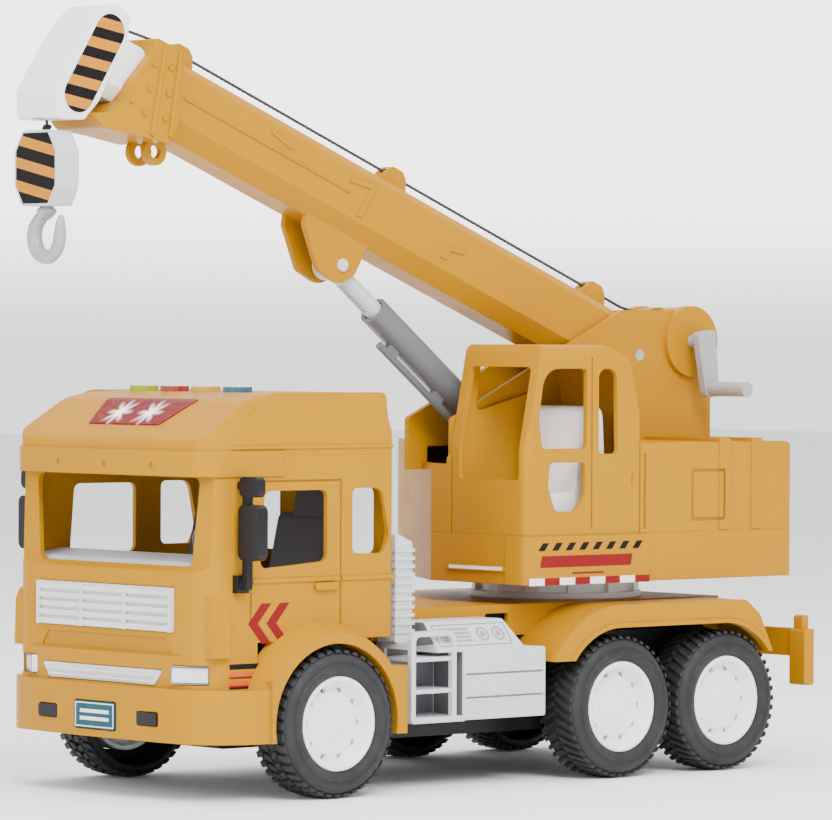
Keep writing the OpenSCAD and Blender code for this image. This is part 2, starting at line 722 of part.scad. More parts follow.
module cheek_2d() difference() {
  union() {
    outline([
      [-113, engine_z - 12, 0], [-113, 150, 2], [-212, 196.5, 6], [-243, 196.5, 0], [drum_x, drum_z, 0],
      [-266, drum_z, 0], [-266, engine_z - 12, 0]
    ]);
    translate([drum_x, drum_z]) circle(r = 15);
  }
}

module turret_body() {
  color("#ffb600") truck() {
    difference() {
      union() {
        intersection() {
          plan(band_z + eps, engine_z) rear_plan(0);
          side(-90, 90) body_side(0);
        }
        // cheeks that carry the boom and the winch
        both() side(cheek_in, cheek_out) cheek_2d();
        both() rod_y(drum_x, drum_z, 31, cheek_in, cheek_out + 2.2);
        // rear wall and roof of the winch housing
        side(-cheek_in - 1, cheek_in + 1) difference() {
          union() {
            translate([drum_x, drum_z]) circle(r = 15);
            rect(-266, 137, drum_x, drum_z);
            rect(drum_x, 194.3, -230, 196.5);
          }
          translate([drum_x, drum_z]) circle(r = 12.6);
          rect(-263.6, 130, drum_x + 13, drum_z);
          rect(drum_x, 150, drum_x + 20, 194.3);
        }
        // ribs over the engine housing
        for (x = [-225, -244.5]) plan(102.5, engine_z + 1.6) outline([
          [x - 6.5, -turret_half - 0.5, 0], [x, -turret_half - 0.5, 0], [x, turret_half + 0.5, 0],
          [x - 6.5, turret_half + 0.5, 0]
        ]);
      }
      // inside
      intersection() {
        plan(band_z - 1, engine_z - wall) rear_plan(wall);
        side(-90, 90) union() {
          body_side(wall);
          rect(turret_rear + wall, band_z - 2, turret_front - wall, band_z + 3);
        }
      }
      // well of the strut and gap of the boom
      side(-cheek_in, cheek_in) {
        rect(-212, 120, -140, 160);
        rect(-141, 131, -100, 160);
      }
      // slot of the rope in the housing's roof
      block([-262, -3.5, 190], [-225, 3.5, 200]);
      // bores of the boom pin and the winch shaft
      rod_y(pivot_x, pivot_z, pin_d, -30, 30);
      rod_y(drum_x, drum_z, shaft_d + 2 * fit, -30, 30);
      // inspection panel on each side
      both() side(turret_half - 0.6, turret_half + 1) difference() {
        rect(-228.5, 106.5, -208.5, 128.5, 1);
        rect(-227.3, 107.7, -209.7, 127.3, 0.6);
      }
      both() side(turret_half - 0.8, turret_half + 1) rect(-181.2, 103.5, -180, 135.5);
    }
  }
}

cab_right = cheek_out + 0.3;

module op_side(t) outline([
  [turret_front - t, band_z, 0], [turret_front - t, 138, 8], [-120 - t, 178 - t, 2], [-121, 181.4 - t, 1],
  [-157, 181.4 - t, 14], [-172 + t, 176 - t, 8], [-177.9 + t, 150, 10], [-177.9 + t, band_z, 0]
]);

module op_front(t) outline([
  [cab_right + t, band_z - 2, 0], [turret_half - t, band_z - 2, 0], [turret_half - t, 181.4 - t, 4],
  [cab_right + t, 181.4 - t, 3]
]);

module operator_cab() {
  color("#ffb600") truck() difference() {
    intersection() {
      side(0, 90) op_side(0);
      front(-200, -100) op_front(0);
      plan(band_z + eps, 190) outline([
        [turret_front, cab_right, 1], [turret_front, turret_half, 4], [-177.9, turret_half, 1],
        [-177.9, cab_right, 1]
      ]);
    }
    intersection() {
      side(0, 90) union() {
        op_side(wall);
        rect(-175, band_z - 1, -115, band_z + 5);
      }
      front(-200, -100) op_front(wall);
    }
    // front window
    front(-135, -100) outline([[20.5, 125, 2], [20.5, 172, 2], [57.5, 172, 2], [57.5, 125, 2]]);
    // door windows, quarter window and the window towards the boom
    side(50, 80) {
      outline([[-121, 138, 2], [-119, 150, 8], [-122.5, 171.4, 9], [-146.6, 171.4, 2], [-146.6, 138, 2]]);
      outline([[-153.5, 135.6, 2], [-153.5, 171.3, 4], [-163.8, 171.3, 4], [-164.6, 135.6, 2]]);
      outline([
        [-125.5, 132.2, 2], [-145.6, 132.2, 2], [-145.6, 118, 4], [-140, 111.7, 3], [-128.5, 111.7, 3],
        [-124.5, 122, 2]
      ]);
    }
    side(0, 30) outline([[-124, 153, 2], [-127, 174, 2], [-160, 174, 2], [-160, 162, 2]]);
    // door seams
    side(turret_half - 0.6, 80) {
      rect(-149.9, 104, -149.2, 176);
      rect(-173.4, 122, -172.8, 127);
    }
  }
}

module operator_seat() {
  color("#e3e6e9") truck() {
    side(22, 54) outline([
      [-166, 104, 3], [-126, 104, 3], [-124, 118, 4], [-148, 120, 3], [-151, 155, 5], [-163, 156, 5]
    ]);
    side(24, 52) rect(-160, 84.6, -132, 104.5, 2);
  }
}

// Winch: the drum with its wound rope is pressed on the crank's shaft
crank_y = cheek_out + 8.2;
crank_len = 21;
crank_tilt = 8;

module winch_drum() {
  color("#8f9298") truck() difference() {
    union() {
      rod_y(drum_x, drum_z, 2 * drum_r - rope_d, 0.6 - cheek_in, cheek_in - 0.6);
      both() rod_y(drum_x, drum_z, 21, cheek_in - 2, cheek_in - 0.6);
      rod_y(drum_x, drum_z, 2 * drum_r + rope_d, -7, 7);
    }
    rod_y(drum_x, drum_z, shaft_d, -20, 20);
  }
}

module winch_crank() {
  color("#8f9298") truck() {
    rod_y(drum_x, drum_z, shaft_d, -cheek_out - 3.2, crank_y + 1);
    translate([drum_x, 0, drum_z]) rotate([0, crank_tilt, 0]) {
      side(crank_y, crank_y + 3.4) outline([
        [-5.6, 4.6, 2], [5.6, 4.6, 2], [4, -crank_len - 3.6, 3], [-4, -crank_len - 3.6, 3]
      ]);
      rod_y(0, -crank_len, 6.6, crank_y + 1, crank_y + 25);
    }
  }
}

module hinge_pins() {
  color("#c9ccd0") truck() {
    rod_y(pivot_x, pivot_z, pin_d, -cheek_out, cheek_out);
    rod_y(strut_x, strut_z, 3.2, -8.8, 8.8);
  }
}

// ---------- boom ----------

// The boom is drawn lying along +x from its pivot, then raised
module on_boom() truck() translate([pivot_x, 0, pivot_z]) rotate([0, -boom_angle, 0]) children();

boom_half = boom_w / 2;
boom_top = 14;
boom_bottom = -16;
boom_len = 286;
rope_h = 20.4;
clevis_x = 167;
clevis_h = -27.5;
guide_x = [25, 150, 275];

module boom_section(t) polygon([
  [boom_half - t, -9 + t / 3], [boom_half - t, 10.5 - t / 3], [9.2 - t / 2, boom_top - t],
  [t / 2 - 9.2, boom_top - t], [t - boom_half, 10.5 - t / 3], [t - boom_half, -9 + t / 3],
  [t / 2 - 7, boom_bottom + t], [7 - t / 2, boom_bottom + t]
]);

module collar_2d() outline([
  [282, 16.4, 1.5], [298, 16.4, 1.5], [297, 9, 3], [302.8, -6, 6], [302.8, -14, 5], [308, -21, 5],
  [316, -24.5, 1], [309, -28, 4], [295, -24.5, 4], [276, -20.5, 2], [274, -13, 2]
]);

module boom_outer() {
  color("#ffb600") on_boom() {
    difference() {
      union() {
        intersection() {
          front(-16, boom_len) boom_section(0);
          side(-30, 30) union() {
            circle(r = 15.6);
            rect(0, -30, 300, 30);
          }
        }
        side(-15.2, 15.2) collar_2d();
        // clevis for the strut
        both() side(5.2, 7.8) outline([
          [156, -10, 0], [194, -10, 0], [192, -20, 3], [178, -34.5, 4], [165, -35.6, 7], [159, -29, 4]
        ]);
        // rope guides on the back of the boom
        for (x = guide_x) side(-3.2, 3.2) outline([
          [x - 9, 12, 0], [x - 6, 21, 2], [x - 3, 23.4, 2], [x + 3, 23.4, 2], [x + 5.5, 20, 2],
          [x + 9, 12, 0]
        ]);
        // eyes under the collar
        both() side(3.6, 6.2) translate([274.5, -23]) circle(d = 11.5);
        // raised marks and the long rib on the flanks
        both() side(boom_half - 0.3, boom_half + 0.5) {
          rect(178, 0.2, 274, 1.2);
          polygon([[168, -6.5], [171, -7.2], [168, 6.4], [180, 4.4], [180, 6.4], [165, 9.2]]);
          polygon([[118, -4.5], [121.5, -5], [119.5, 1.2], [109, 3.6], [109, 1.4], [117, -0.4]]);
          polygon([[214, 4], [226, 6.2], [226, 8], [213, 5.8]]);
        }
        // ribs and rivets of the collar
        both() side(15, 16) {
          outline([[283.5, 16, 0], [285.5, 16, 0], [277.5, -18, 0], [275.5, -18, 0]]);
          outline([[291.5, 16, 0], [293.5, 16, 0], [286.5, -21, 0], [284.5, -21, 0]]);
          for (p = [[286.5, 8], [284, -2], [281.6, -12], [295, 6], [293.6, -4], [292, -14], [300, -12]])
            translate(p) circle(d = 2.4);
        }
      }
      // hollow for the sliding section
      front(44, 330) boom_section(1.9);
      // bores: pivot, clevis pin, eyes and the rope's way through the guides
      rod_y(0, 0, pin_d + 2 * fit, -30, 30);
      rod_y(clevis_x, clevis_h, 3.2, -20, 20);
      both() rod_y(274.5, -23, 5.4, 3, 7);
      translate([0, 0, rope_h]) rotate([0, 90, 0]) cylinder(d = rope_d + 1.4, h = 300);
    }
  }
}

module clevis_pin() {
  color("#c9ccd0") on_boom() {
    rod_y(clevis_x, clevis_h, 3.2, -8.6, 8.6);
    both() rod_y(clevis_x, clevis_h, 5.4, 7.81, 8.8);
  }
}

inner_x0 = 60;
inner_play = 1.9 + boom_play;

module boom_inner() {
  color("#e9ebee") on_boom() difference() {
    front(inner_x0, 312) boom_section(inner_play);
    front(inner_x0 - 1, 305) boom_section(inner_play + 1.8);
  }
}

sheave_x = 324.5;
sheave_h = -19;
sheave_r = 5.4;

module boom_head() {
  color("#f4f5f7") on_boom() difference() {
    side(-12.5, 12.5) outline([
      [317, -28, 2], [330.5, -33.3, 2], [334.6, -23, 5], [333.2, -12, 8], [329, 6, 8], [324, 19, 5],
      [318, 21.5, 3], [311, 19.5, 3], [309.5, 12, 3], [313, -18, 5]
    ]);
    // socket of the sliding section, bore of the sheave's pin and the way of the rope
    rod_y(sheave_x, sheave_h, 3, -11, 11);
    front(300, 312.01) boom_section(inner_play - 0.01);
    side(-3.4, 3.4) outline([
      [300, 11, 0], [300, 20, 0], [314, 19.5, 0], [331, -12, 0], [331, -26, 0], [329, -40, 0], [322, -40, 0],
      [318, -22, 0], [318, -4, 0], [310, 8, 0]
    ]);
  }
}

module sheave() {
  color("#8f9298") on_boom() difference() {
    union() {
      rod_y(sheave_x, sheave_h, 2 * sheave_r - rope_d, -3, 3);
      both() rod_y(sheave_x, sheave_h, 2 * sheave_r + 1.4, 1.6, 3);
    }
    rod_y(sheave_x, sheave_h, 3 + 2 * fit, -5, 5);
  }
}

module sheave_pin() color("#c9ccd0") on_boom() rod_y(sheave_x, sheave_h, 3, -11, 11);

// ---------- strut ----------

strut_len = 160;
strut_angle = 37.7;
clevis = [
  pivot_x + clevis_x * cos(boom_angle) - clevis_h * sin(boom_angle),
  pivot_z + clevis_x * sin(boom_angle) + clevis_h * cos(boom_angle)
];
strut_x = clevis.x - strut_len * cos(strut_angle);
strut_z = clevis.y - strut_len * sin(strut_angle);
barrel_len = strut_len - 30.5;
rod_w = 8;

module on_strut() truck() translate([strut_x, 0, strut_z]) rotate([0, -strut_angle, 0]) children();

module strut_barrel() {
  color("#7b7e84") on_strut() {
    difference() {
      union() {
        rod_y(0, 0, 12, -4.8, 4.8);
        side(-4.8, 4.8) rect(0, -5, 16, 5);
        translate([14, 0, 0]) rotate([0, 90, 0]) cylinder(d = barrel_d, h = barrel_len - 14);
        // feed pipe with its clips under the barrel
        translate([40, 0, -9.4]) rotate([0, 90, 0]) cylinder(d = 3.4, h = 78);
        for (x = [44, 76, 108]) block([x, -1.8, -9.6], [x + 6, 1.8, -4]);
      }
      rod_y(0, 0, 3.2 + 2 * fit, -10, 10);
      translate([24, 0, 0]) rotate([0, 90, 0]) cylinder(d = rod_w + 1, h = 200);
    }
  }
}

module strut_rod() {
  color("#cfd2d6") on_strut() difference() {
    union() {
      translate([80, 0, 0]) rotate([0, 90, 0]) cylinder(d = rod_w, h = strut_len - 80);
      rod_y(strut_len, 0, 12.6, -4, 4);
    }
    rod_y(strut_len, 0, 8.6, -10, 10);
    // long flat along the underside
    block([strut_len - 27, -1.6, -6], [strut_len - 9, 1.6, -2.6]);
  }
}

// ---------- rope and hook ----------

// Points are [x, z] from the front axle in the truck and [x, h] along the boom
winch_exit = [-240.5, 194.5];
drum_leave = [-250, 191.62];
boom_start = 5;
head_route = [[287, rope_h - 0.2], [312, 16.6], [329.5, -14.5], [330.2, -19.6], [325.9, -30.2]];

drop_x = 90.9;
block_z1 = 265.5;
block_z0 = 235.5;
block_t = 11.2;

module rope_at_winch() color("#111111") truck() rope([drum_leave, winch_exit]);
module rope_on_boom() color("#111111") on_boom() rope([[boom_start, rope_h], [284.5, rope_h]]);
module rope_in_head() color("#111111") on_boom() rope(head_route);

module rope_drop() color("#111111") truck() rod_z(drop_x, 0, rope_d, 268.4, 269.6);

module rope_knot() {
  color("#111111") truck() {
    rod_z(drop_x, 0, rope_d, block_z1 - 4, 268.3);
    translate([drop_x, 0, block_z1 + 1.3]) sphere(d = 3, $fn = 32);
  }
}

module hook_block() {
  color("#c9ccd0") truck() difference() {
    front(drop_x - block_t / 2, drop_x + block_t / 2) outline([
      [-8.3, block_z1, 2], [-13.7, block_z1 - 8, 6], [-13.7, block_z0 + 8, 6], [-9, block_z0, 2],
      [9, block_z0, 2], [13.7, block_z0 + 8, 6], [13.7, block_z1 - 8, 6], [8.3, block_z1, 2]
    ]);
    rod_z(drop_x, 0, rope_d, block_z1 - 4, block_z1 + 1);
    rod_z(drop_x, 0, shank_d + 2 * fit, block_z0 - 1, block_z0 + 9);
  }
}

shank_d = 4;
bow_z = 223.4;
bow_r = 11.4;

module hook() {
  color("#8f9298") truck() {
    rod_z(drop_x, 0, shank_d, 230, block_z0 + 8.6);
    rod_z(drop_x, 0, 9, 232, block_z0 - 0.4);
    front(drop_x - 3, drop_x + 3) difference() {
      union() {
        translate([0, bow_z]) circle(r = bow_r);
        outline([[-6, 224, 0], [-3.6, 233, 1], [3.6, 233, 1], [4.4, 226, 0]]);
      }
      translate([1, bow_z + 0.4]) circle(r = 6.2);
      outline([[3.4, 225, 0], [4.4, 231, 0], [8, 240, 0], [20, 240, 0], [20, 227.5, 0], [9, 225.5, 0]]);
    }
  }
}

// Tapping screws that hold the deck to the frame and the gearbox to the frame's floor
head_d = 6;
head_h = 1.4;
screw_xy = [[-225, 30], [-225, -30], [20, 30], [20, -30], [-120, 30], [-120, -30]];

module screws() {
  color("#b9bcc0") truck() for (p = screw_xy) {
    rod_z(p.x, p.y, 3, frame_z0 + 0.2, frame_z0 + 14);
    rod_z(p.x, p.y, head_d, frame_z0 + 0.1, frame_z0 + head_h);
  }
}

// ---------- assembly ----------

chassis_frame();
chassis_deck();
rear_bumper();
gearbox_housing();
gearbox_cover();
screws();
axle_node(0);  // front_axle
axle_node(1);  // middle_axle
axle_node(2);  // rear_axle
drive_gear();
flywheel();
rim_pair(0);  // front_rims
rim_pair(1);  // middle_rims
rim_pair(2);  // rear_rims
tyre_pair(0);  // front_tyres
tyre_pair(1);  // middle_tyres
tyre_pair(2);  // rear_tyres
cab_shell();
cab_roof();
cab_interior();
steering_wheel();
grilles();
headlamps();
fog_lamps();
number_plate();
mirrors();
air_intakes();
side_units();
roof_lamp_lens();
circuit_board();
speaker();
button_cells();
button(button_y[0], "#9ccc2e");  // button_green
button(button_y[1], "#c62828");  // button_red
button(button_y[2], "#f2c81e");  // button_yellow
button(button_y[3], "#1f7f9c");  // button_blue
slewing_ring();
turret_retainer();
turret_base();
turret_body();
operator_cab();
operator_seat();
hinge_pins();
winch_drum();
winch_crank();
boom_outer();
clevis_pin();
boom_inner();
boom_head();
sheave();
sheave_pin();
strut_barrel();
strut_rod();
rope_at_winch();
rope_on_boom();
rope_in_head();
rope_drop();
rope_knot();
hook_block();
hook();
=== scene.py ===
"""Looks of the toy crane truck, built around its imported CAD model."""
import json
import math

import bmesh
import bpy
from mathutils import Matrix, Vector


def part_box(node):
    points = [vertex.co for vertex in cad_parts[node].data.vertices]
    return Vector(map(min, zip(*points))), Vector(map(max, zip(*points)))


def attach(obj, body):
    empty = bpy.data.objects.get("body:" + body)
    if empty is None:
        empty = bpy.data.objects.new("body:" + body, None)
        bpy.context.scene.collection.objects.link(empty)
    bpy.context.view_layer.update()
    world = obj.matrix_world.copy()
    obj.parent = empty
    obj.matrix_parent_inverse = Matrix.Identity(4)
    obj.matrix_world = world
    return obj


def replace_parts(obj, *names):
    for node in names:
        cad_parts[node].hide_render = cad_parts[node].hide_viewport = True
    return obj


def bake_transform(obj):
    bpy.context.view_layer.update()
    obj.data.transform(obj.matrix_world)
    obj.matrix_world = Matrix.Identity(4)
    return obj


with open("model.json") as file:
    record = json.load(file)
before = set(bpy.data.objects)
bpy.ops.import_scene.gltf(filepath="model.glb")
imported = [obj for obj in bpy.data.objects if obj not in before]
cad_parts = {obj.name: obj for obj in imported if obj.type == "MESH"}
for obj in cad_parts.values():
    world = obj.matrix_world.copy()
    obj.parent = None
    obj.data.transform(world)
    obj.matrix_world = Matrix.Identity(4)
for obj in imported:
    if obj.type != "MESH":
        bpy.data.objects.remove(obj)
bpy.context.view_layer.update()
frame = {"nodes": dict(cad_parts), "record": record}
nodes = frame["nodes"]
joints = {joint["name"]: joint for joint in frame["record"]["behaviour"]["joints"]}

MM = 0.001


def place(joint):
    """The point in metres that a joint turns about."""
    return Vector(joints[joint]["pos_m"])


AXLES = {end: place(f"{end}_axle_spin") for end in ("front", "middle", "rear")}
PIVOT = place("boom_luff")
DRUM = place("winch_turn")
DROP = place("rope_plumb")
ALONG = Vector(joints["boom_extend"]["axis"])
UP_BOOM = Vector((-ALONG.z, 0, ALONG.x))
UP = Vector((0, 0, 1))
FORWARDS = Vector((1, 0, 0))


def truck(x, y, z):
    """A point in metres from millimetres, with x counted from the front axle."""
    return Vector((AXLES["front"].x + x * MM, y * MM, z * MM))


def boom(s, y, h):
    """A point in metres from millimetres along, across and above the boom's line through its pivot."""
    return PIVOT + ALONG * s * MM + UP_BOOM * h * MM + Vector((0, y * MM, 0))


# ---------------------------------------------------------------- camera, light and floor

CAMERA_AT = truck(1329.0, 1613.3, 184.0)
CAMERA_YAW = math.radians(41.65)
CAMERA_PITCH = math.radians(0.81)
CAMERA_ROLL = math.radians(0.28)
CAMERA_LENS = 221.02


def add_camera():
    """The photograph's viewing angle."""
    forward = Vector((
        -math.sin(CAMERA_YAW) * math.cos(CAMERA_PITCH),
        -math.cos(CAMERA_YAW) * math.cos(CAMERA_PITCH),
        -math.sin(CAMERA_PITCH),
    ))
    right = forward.cross(UP).normalized()
    up = right.cross(forward)
    c, s = math.cos(CAMERA_ROLL), math.sin(CAMERA_ROLL)
    right, up = right * c + up * s, up * c - right * s
    data = bpy.data.cameras.new("photo_camera")
    data.sensor_fit = "HORIZONTAL"
    data.sensor_width = 36
    data.lens = CAMERA_LENS
    data.clip_start = 0.05
    data.clip_end = 30
    camera = bpy.data.objects.new("photo_camera", data)
    turn = Matrix((right, up, -forward)).transposed().to_4x4()
    camera.matrix_world = Matrix.Translation(CAMERA_AT) @ turn
    bpy.context.scene.collection.objects.link(camera)
    bpy.context.scene.camera = camera


def add_area_light(name, at, target, size, power, tint=(1, 1, 1)):
    """A soft light at a point, facing the target."""
    data = bpy.data.lights.new(name, "AREA")
    data.shape = "RECTANGLE"
    data.size, data.size_y = size
    data.energy = power
    data.color = tint
    light = bpy.data.objects.new(name, data)
    light.location = at
    light.rotation_euler = (Vector(target) - Vector(at)).to_track_quat("-Z", "Y").to_euler()
    bpy.context.scene.collection.objects.link(light)


# Strengths of the world: for the light on the truck, and for the camera at the horizon and above it.
WORLD_LIGHT = 1.45
FLOOR_FAR = 1.75
BACKDROP = 4.0


def add_studio():
    """A pale world with a lighter backdrop for the camera, three soft lights and a paper floor."""
    world = bpy.data.worlds.new("studio")
    bpy.context.scene.world = world
    world.use_nodes = True
    background = world.node_tree.nodes["Background"]
    background.inputs["Color"].default_value = (0.97, 0.985, 1.0, 1)
    background.inputs["Strength"].default_value = WORLD_LIGHT
    add, link = world.node_tree.nodes.new, world.node_tree.links.new
    seen, path, either = add("ShaderNodeBackground"), add("ShaderNodeLightPath"), add("ShaderNodeMixShader")
    coords, split, rise = add("ShaderNodeTexCoord"), add("ShaderNodeSeparateXYZ"), add("ShaderNodeMapRange")
    seen.inputs["Color"].default_value = (1, 1, 1, 1)
    rise.interpolation_type = "SMOOTHSTEP"
    fade = {"From Min": -0.002, "From Max": 0.03, "To Min": FLOOR_FAR, "To Max": BACKDROP}
    for socket, value in fade.items():
        rise.inputs[socket].default_value = value
    link(coords.outputs["Generated"], split.inputs["Vector"])
    link(split.outputs["Z"], rise.inputs["Value"])
    link(rise.outputs["Result"], seen.inputs["Strength"])
    link(path.outputs["Is Camera Ray"], either.inputs["Fac"])
    link(background.outputs["Background"], either.inputs[1])
    link(seen.outputs["Background"], either.inputs[2])
    link(either.outputs["Shader"], world.node_tree.nodes["World Output"].inputs["Surface"])
    centre = (0, 0, 0.12)
    add_area_light("key", (0.55, 1.25, 1.35), centre, (0.9, 0.9), 46, (1, 0.985, 0.96))
    add_area_light("front", (1.6, 0.25, 0.75), centre, (0.8, 0.8), 13)
    add_area_light("top", (-0.2, -0.2, 1.5), centre, (1.4, 1.4), 18)
    bpy.ops.mesh.primitive_plane_add(size=12, location=(0, 0, -0.00005))
    floor = bpy.context.object
    floor.name = "floor"
    paper = surface("floor_paper", (0.96, 0.96, 0.96), (0.94, 0.94, 0.94), rough=0.75, patch=3, grain=200,
                    bump=0.02)
    floor.data.materials.append(paper)


# ---------------------------------------------------------------- materials


class Graph:
    """Short forms for adding and linking shader nodes."""

    def __init__(self, name):
        self.material = bpy.data.materials.new(name)
        self.material.use_nodes = True
        self.tree = self.material.node_tree
        self.shader = self.tree.nodes["Principled BSDF"]
        self.coords = self.add("ShaderNodeTexCoord").outputs["Object"]

    def add(self, kind, **settings):
        node = self.tree.nodes.new(kind)
        for key, value in settings.items():
            setattr(node, key, value)
        return node

    def link(self, source, target):
        self.tree.links.new(source, target)

    def noise(self, scale, detail=3, roughness=0.5):
        node = self.add("ShaderNodeTexNoise")
        node.inputs["Scale"].default_value = scale
        node.inputs["Detail"].default_value = detail
        node.inputs["Roughness"].default_value = roughness
        self.link(self.coords, node.inputs["Vector"])
        return node.outputs["Fac"]

    def spread(self, value, low, high, start=0.3, end=0.7):
        node = self.add("ShaderNodeMapRange")
        node.inputs["From Min"].default_value = start
        node.inputs["From Max"].default_value = end
        node.inputs["To Min"].default_value = low
        node.inputs["To Max"].default_value = high
        self.link(value, node.inputs["Value"])
        return node.outputs["Result"]

    def mix(self, factor, first, second):
        node = self.add("ShaderNodeMix", data_type="RGBA")
        self.link(factor, node.inputs["Factor"])
        for socket, value in ((node.inputs["A"], first), (node.inputs["B"], second)):
            if isinstance(value, tuple):
                socket.default_value = (*value, 1)
            else:
                self.link(value, socket)
        return node.outputs["Result"]

    def math(self, operation, first, second=0.0):
        node = self.add("ShaderNodeMath", operation=operation)
        for socket, value in zip(node.inputs, (first, second)):
            if isinstance(value, (int, float)):
                socket.default_value = value
            else:
                self.link(value, socket)
        return node.outputs["Value"]

    def bump(self, height, strength, distance, edge=0.0):
        node = self.add("ShaderNodeBump")
        node.inputs["Strength"].default_value = strength
        node.inputs["Distance"].default_value = distance
        self.link(height, node.inputs["Height"])
        if edge:
            soft = self.add("ShaderNodeBevel", samples=4)
            soft.inputs["Radius"].default_value = edge
            self.link(soft.outputs["Normal"], node.inputs["Normal"])
        self.link(node.outputs["Normal"], self.shader.inputs["Normal"])


def surface(name, color, shade, rough=0.35, patch=14, grain=1400, bump=0.12, coat=0.0, metal=0.0, edge=0.0,
            spread=0.06, gloss=0.5):
    """A moulded surface: two close tones in soft patches, uneven gloss and a fine grain."""
    g = Graph(name)
    tone = g.spread(g.noise(patch, 4, 0.6), 0, 1)
    g.link(g.mix(tone, color, shade), g.shader.inputs["Base Color"])
    wear = g.spread(g.noise(patch * 9, 5, 0.65), rough - spread, rough + spread)
    g.link(wear, g.shader.inputs["Roughness"])
    g.shader.inputs["Metallic"].default_value = metal
    g.shader.inputs["Coat Weight"].default_value = coat
    g.shader.inputs["Coat Roughness"].default_value = 0.12
    g.shader.inputs["Specular IOR Level"].default_value = gloss
    g.bump(g.noise(grain, 2, 0.5), bump, 0.00015, edge)
    return g.material


def rubber():
    """Matte tyre rubber with fine and coarse unevenness."""
    g = Graph("tyre_rubber_matte")
    tone = g.spread(g.noise(60, 6, 0.7), 0, 1)
    g.link(g.mix(tone, (0.012, 0.0125, 0.014), (0.024, 0.0245, 0.027)), g.shader.inputs["Base Color"])
    g.link(g.spread(g.noise(220, 4, 0.7), 0.5, 0.78), g.shader.inputs["Roughness"])
    g.shader.inputs["Specular IOR Level"].default_value = 0.3
    fine = g.noise(1600, 3, 0.6)
    coarse = g.math("MULTIPLY", g.noise(260, 4, 0.6), 1.5)
    g.bump(g.math("ADD", fine, coarse), 0.35, 0.0002)
    return g.material


def rope_fibre():
    """Black twisted cord with a faint sheen."""
    g = Graph("rope_black_braid")
    tone = g.spread(g.noise(1500, 5, 0.8), 0, 1)
    g.link(g.mix(tone, (0.008, 0.008, 0.009), (0.035, 0.033, 0.032)), g.shader.inputs["Base Color"])
    g.shader.inputs["Sheen Weight"].default_value = 0.25
    g.link(g.spread(g.noise(2600, 2), 0.7, 0.95), g.shader.inputs["Roughness"])
    g.bump(g.noise(3200, 4, 0.7), 0.5, 0.0002)
    return g.material


def lamp_red(spots, radius):
    """Clear red lens with a lamp behind it at each spot; the white, star-shaped rays round each lamp are a
    painted glint.
    """
    g = Graph("lens_red_lit")
    split = g.add("ShaderNodeSeparateXYZ")
    g.link(g.coords, split.inputs["Vector"])
    light = None
    for spot in spots:
        dx = g.math("SUBTRACT", split.outputs["X"], spot.x)
        dy = g.math("SUBTRACT", split.outputs["Y"], spot.y)
        near = g.math("SQRT", g.math("ADD", g.math("MULTIPLY", dx, dx), g.math("MULTIPLY", dy, dy)))
        # Painted glint: four star-shaped rays round each lamp.
        glint_ray = g.math("ABSOLUTE", g.math("COSINE", g.math("MULTIPLY", g.math("ARCTAN2", dy, dx), 4.0)))
        reach = g.math("ADD", g.math("MULTIPLY", glint_ray, radius * 1.1), radius * 0.55)
        glow = g.math("SUBTRACT", 1.0, g.math("DIVIDE", near, reach))
        glow = g.math("MAXIMUM", glow, 0.0)
        light = glow if light is None else g.math("MAXIMUM", light, glow)
    facets = g.add("ShaderNodeTexVoronoi")
    facets.inputs["Scale"].default_value = 320
    g.link(g.coords, facets.inputs["Vector"])
    depth = g.spread(facets.outputs["Distance"], 0, 1, 0.0, 0.6)
    base = g.mix(depth, (0.27, 0.005, 0.004), (0.14, 0.002, 0.002))
    # Where each lamp glows the base colour turns white, a painted glint.
    g.link(g.mix(light, base, (1.0, 0.9, 0.85)), g.shader.inputs["Base Color"])
    g.link(g.mix(light, (0.10, 0.001, 0.001), (1.0, 0.85, 0.8)), g.shader.inputs["Emission Color"])
    g.link(g.math("MULTIPLY", light, 2.2), g.shader.inputs["Emission Strength"])
    g.link(g.spread(g.noise(500), 0.2, 0.3), g.shader.inputs["Roughness"])
    g.shader.inputs["Specular IOR Level"].default_value = 0.12
    g.bump(facets.outputs["Distance"], 0.25, 0.0003)
    return g.material


def slant(name, first, second, pitch, direction, gap, offset):
    """Printed hazard stripes: two inks in bands across a direction."""
    g = Graph(name)
    dot = g.add("ShaderNodeVectorMath", operation="DOT_PRODUCT")
    g.link(g.coords, dot.inputs[0])
    dot.inputs[1].default_value = direction
    turns = g.math("ADD", g.math("MULTIPLY", dot.outputs["Value"], 1 / pitch), offset)
    ink = g.math("GREATER_THAN", g.math("FRACT", turns), gap)
    worn = g.spread(g.noise(900, 4, 0.7), 0.0, 0.06)
    dark = g.mix(worn, first, (0.10, 0.09, 0.08))
    pale = g.mix(g.spread(g.noise(240, 4), 0, 1), second, tuple(0.9 * v for v in second))
    g.link(g.mix(ink, dark, pale), g.shader.inputs["Base Color"])
    g.link(g.spread(g.noise(300, 3), 0.25, 0.38), g.shader.inputs["Roughness"])
    g.shader.inputs["Specular IOR Level"].default_value = 0.08
    g.bump(g.noise(700, 3), 0.06, 0.0001)
    return g.material


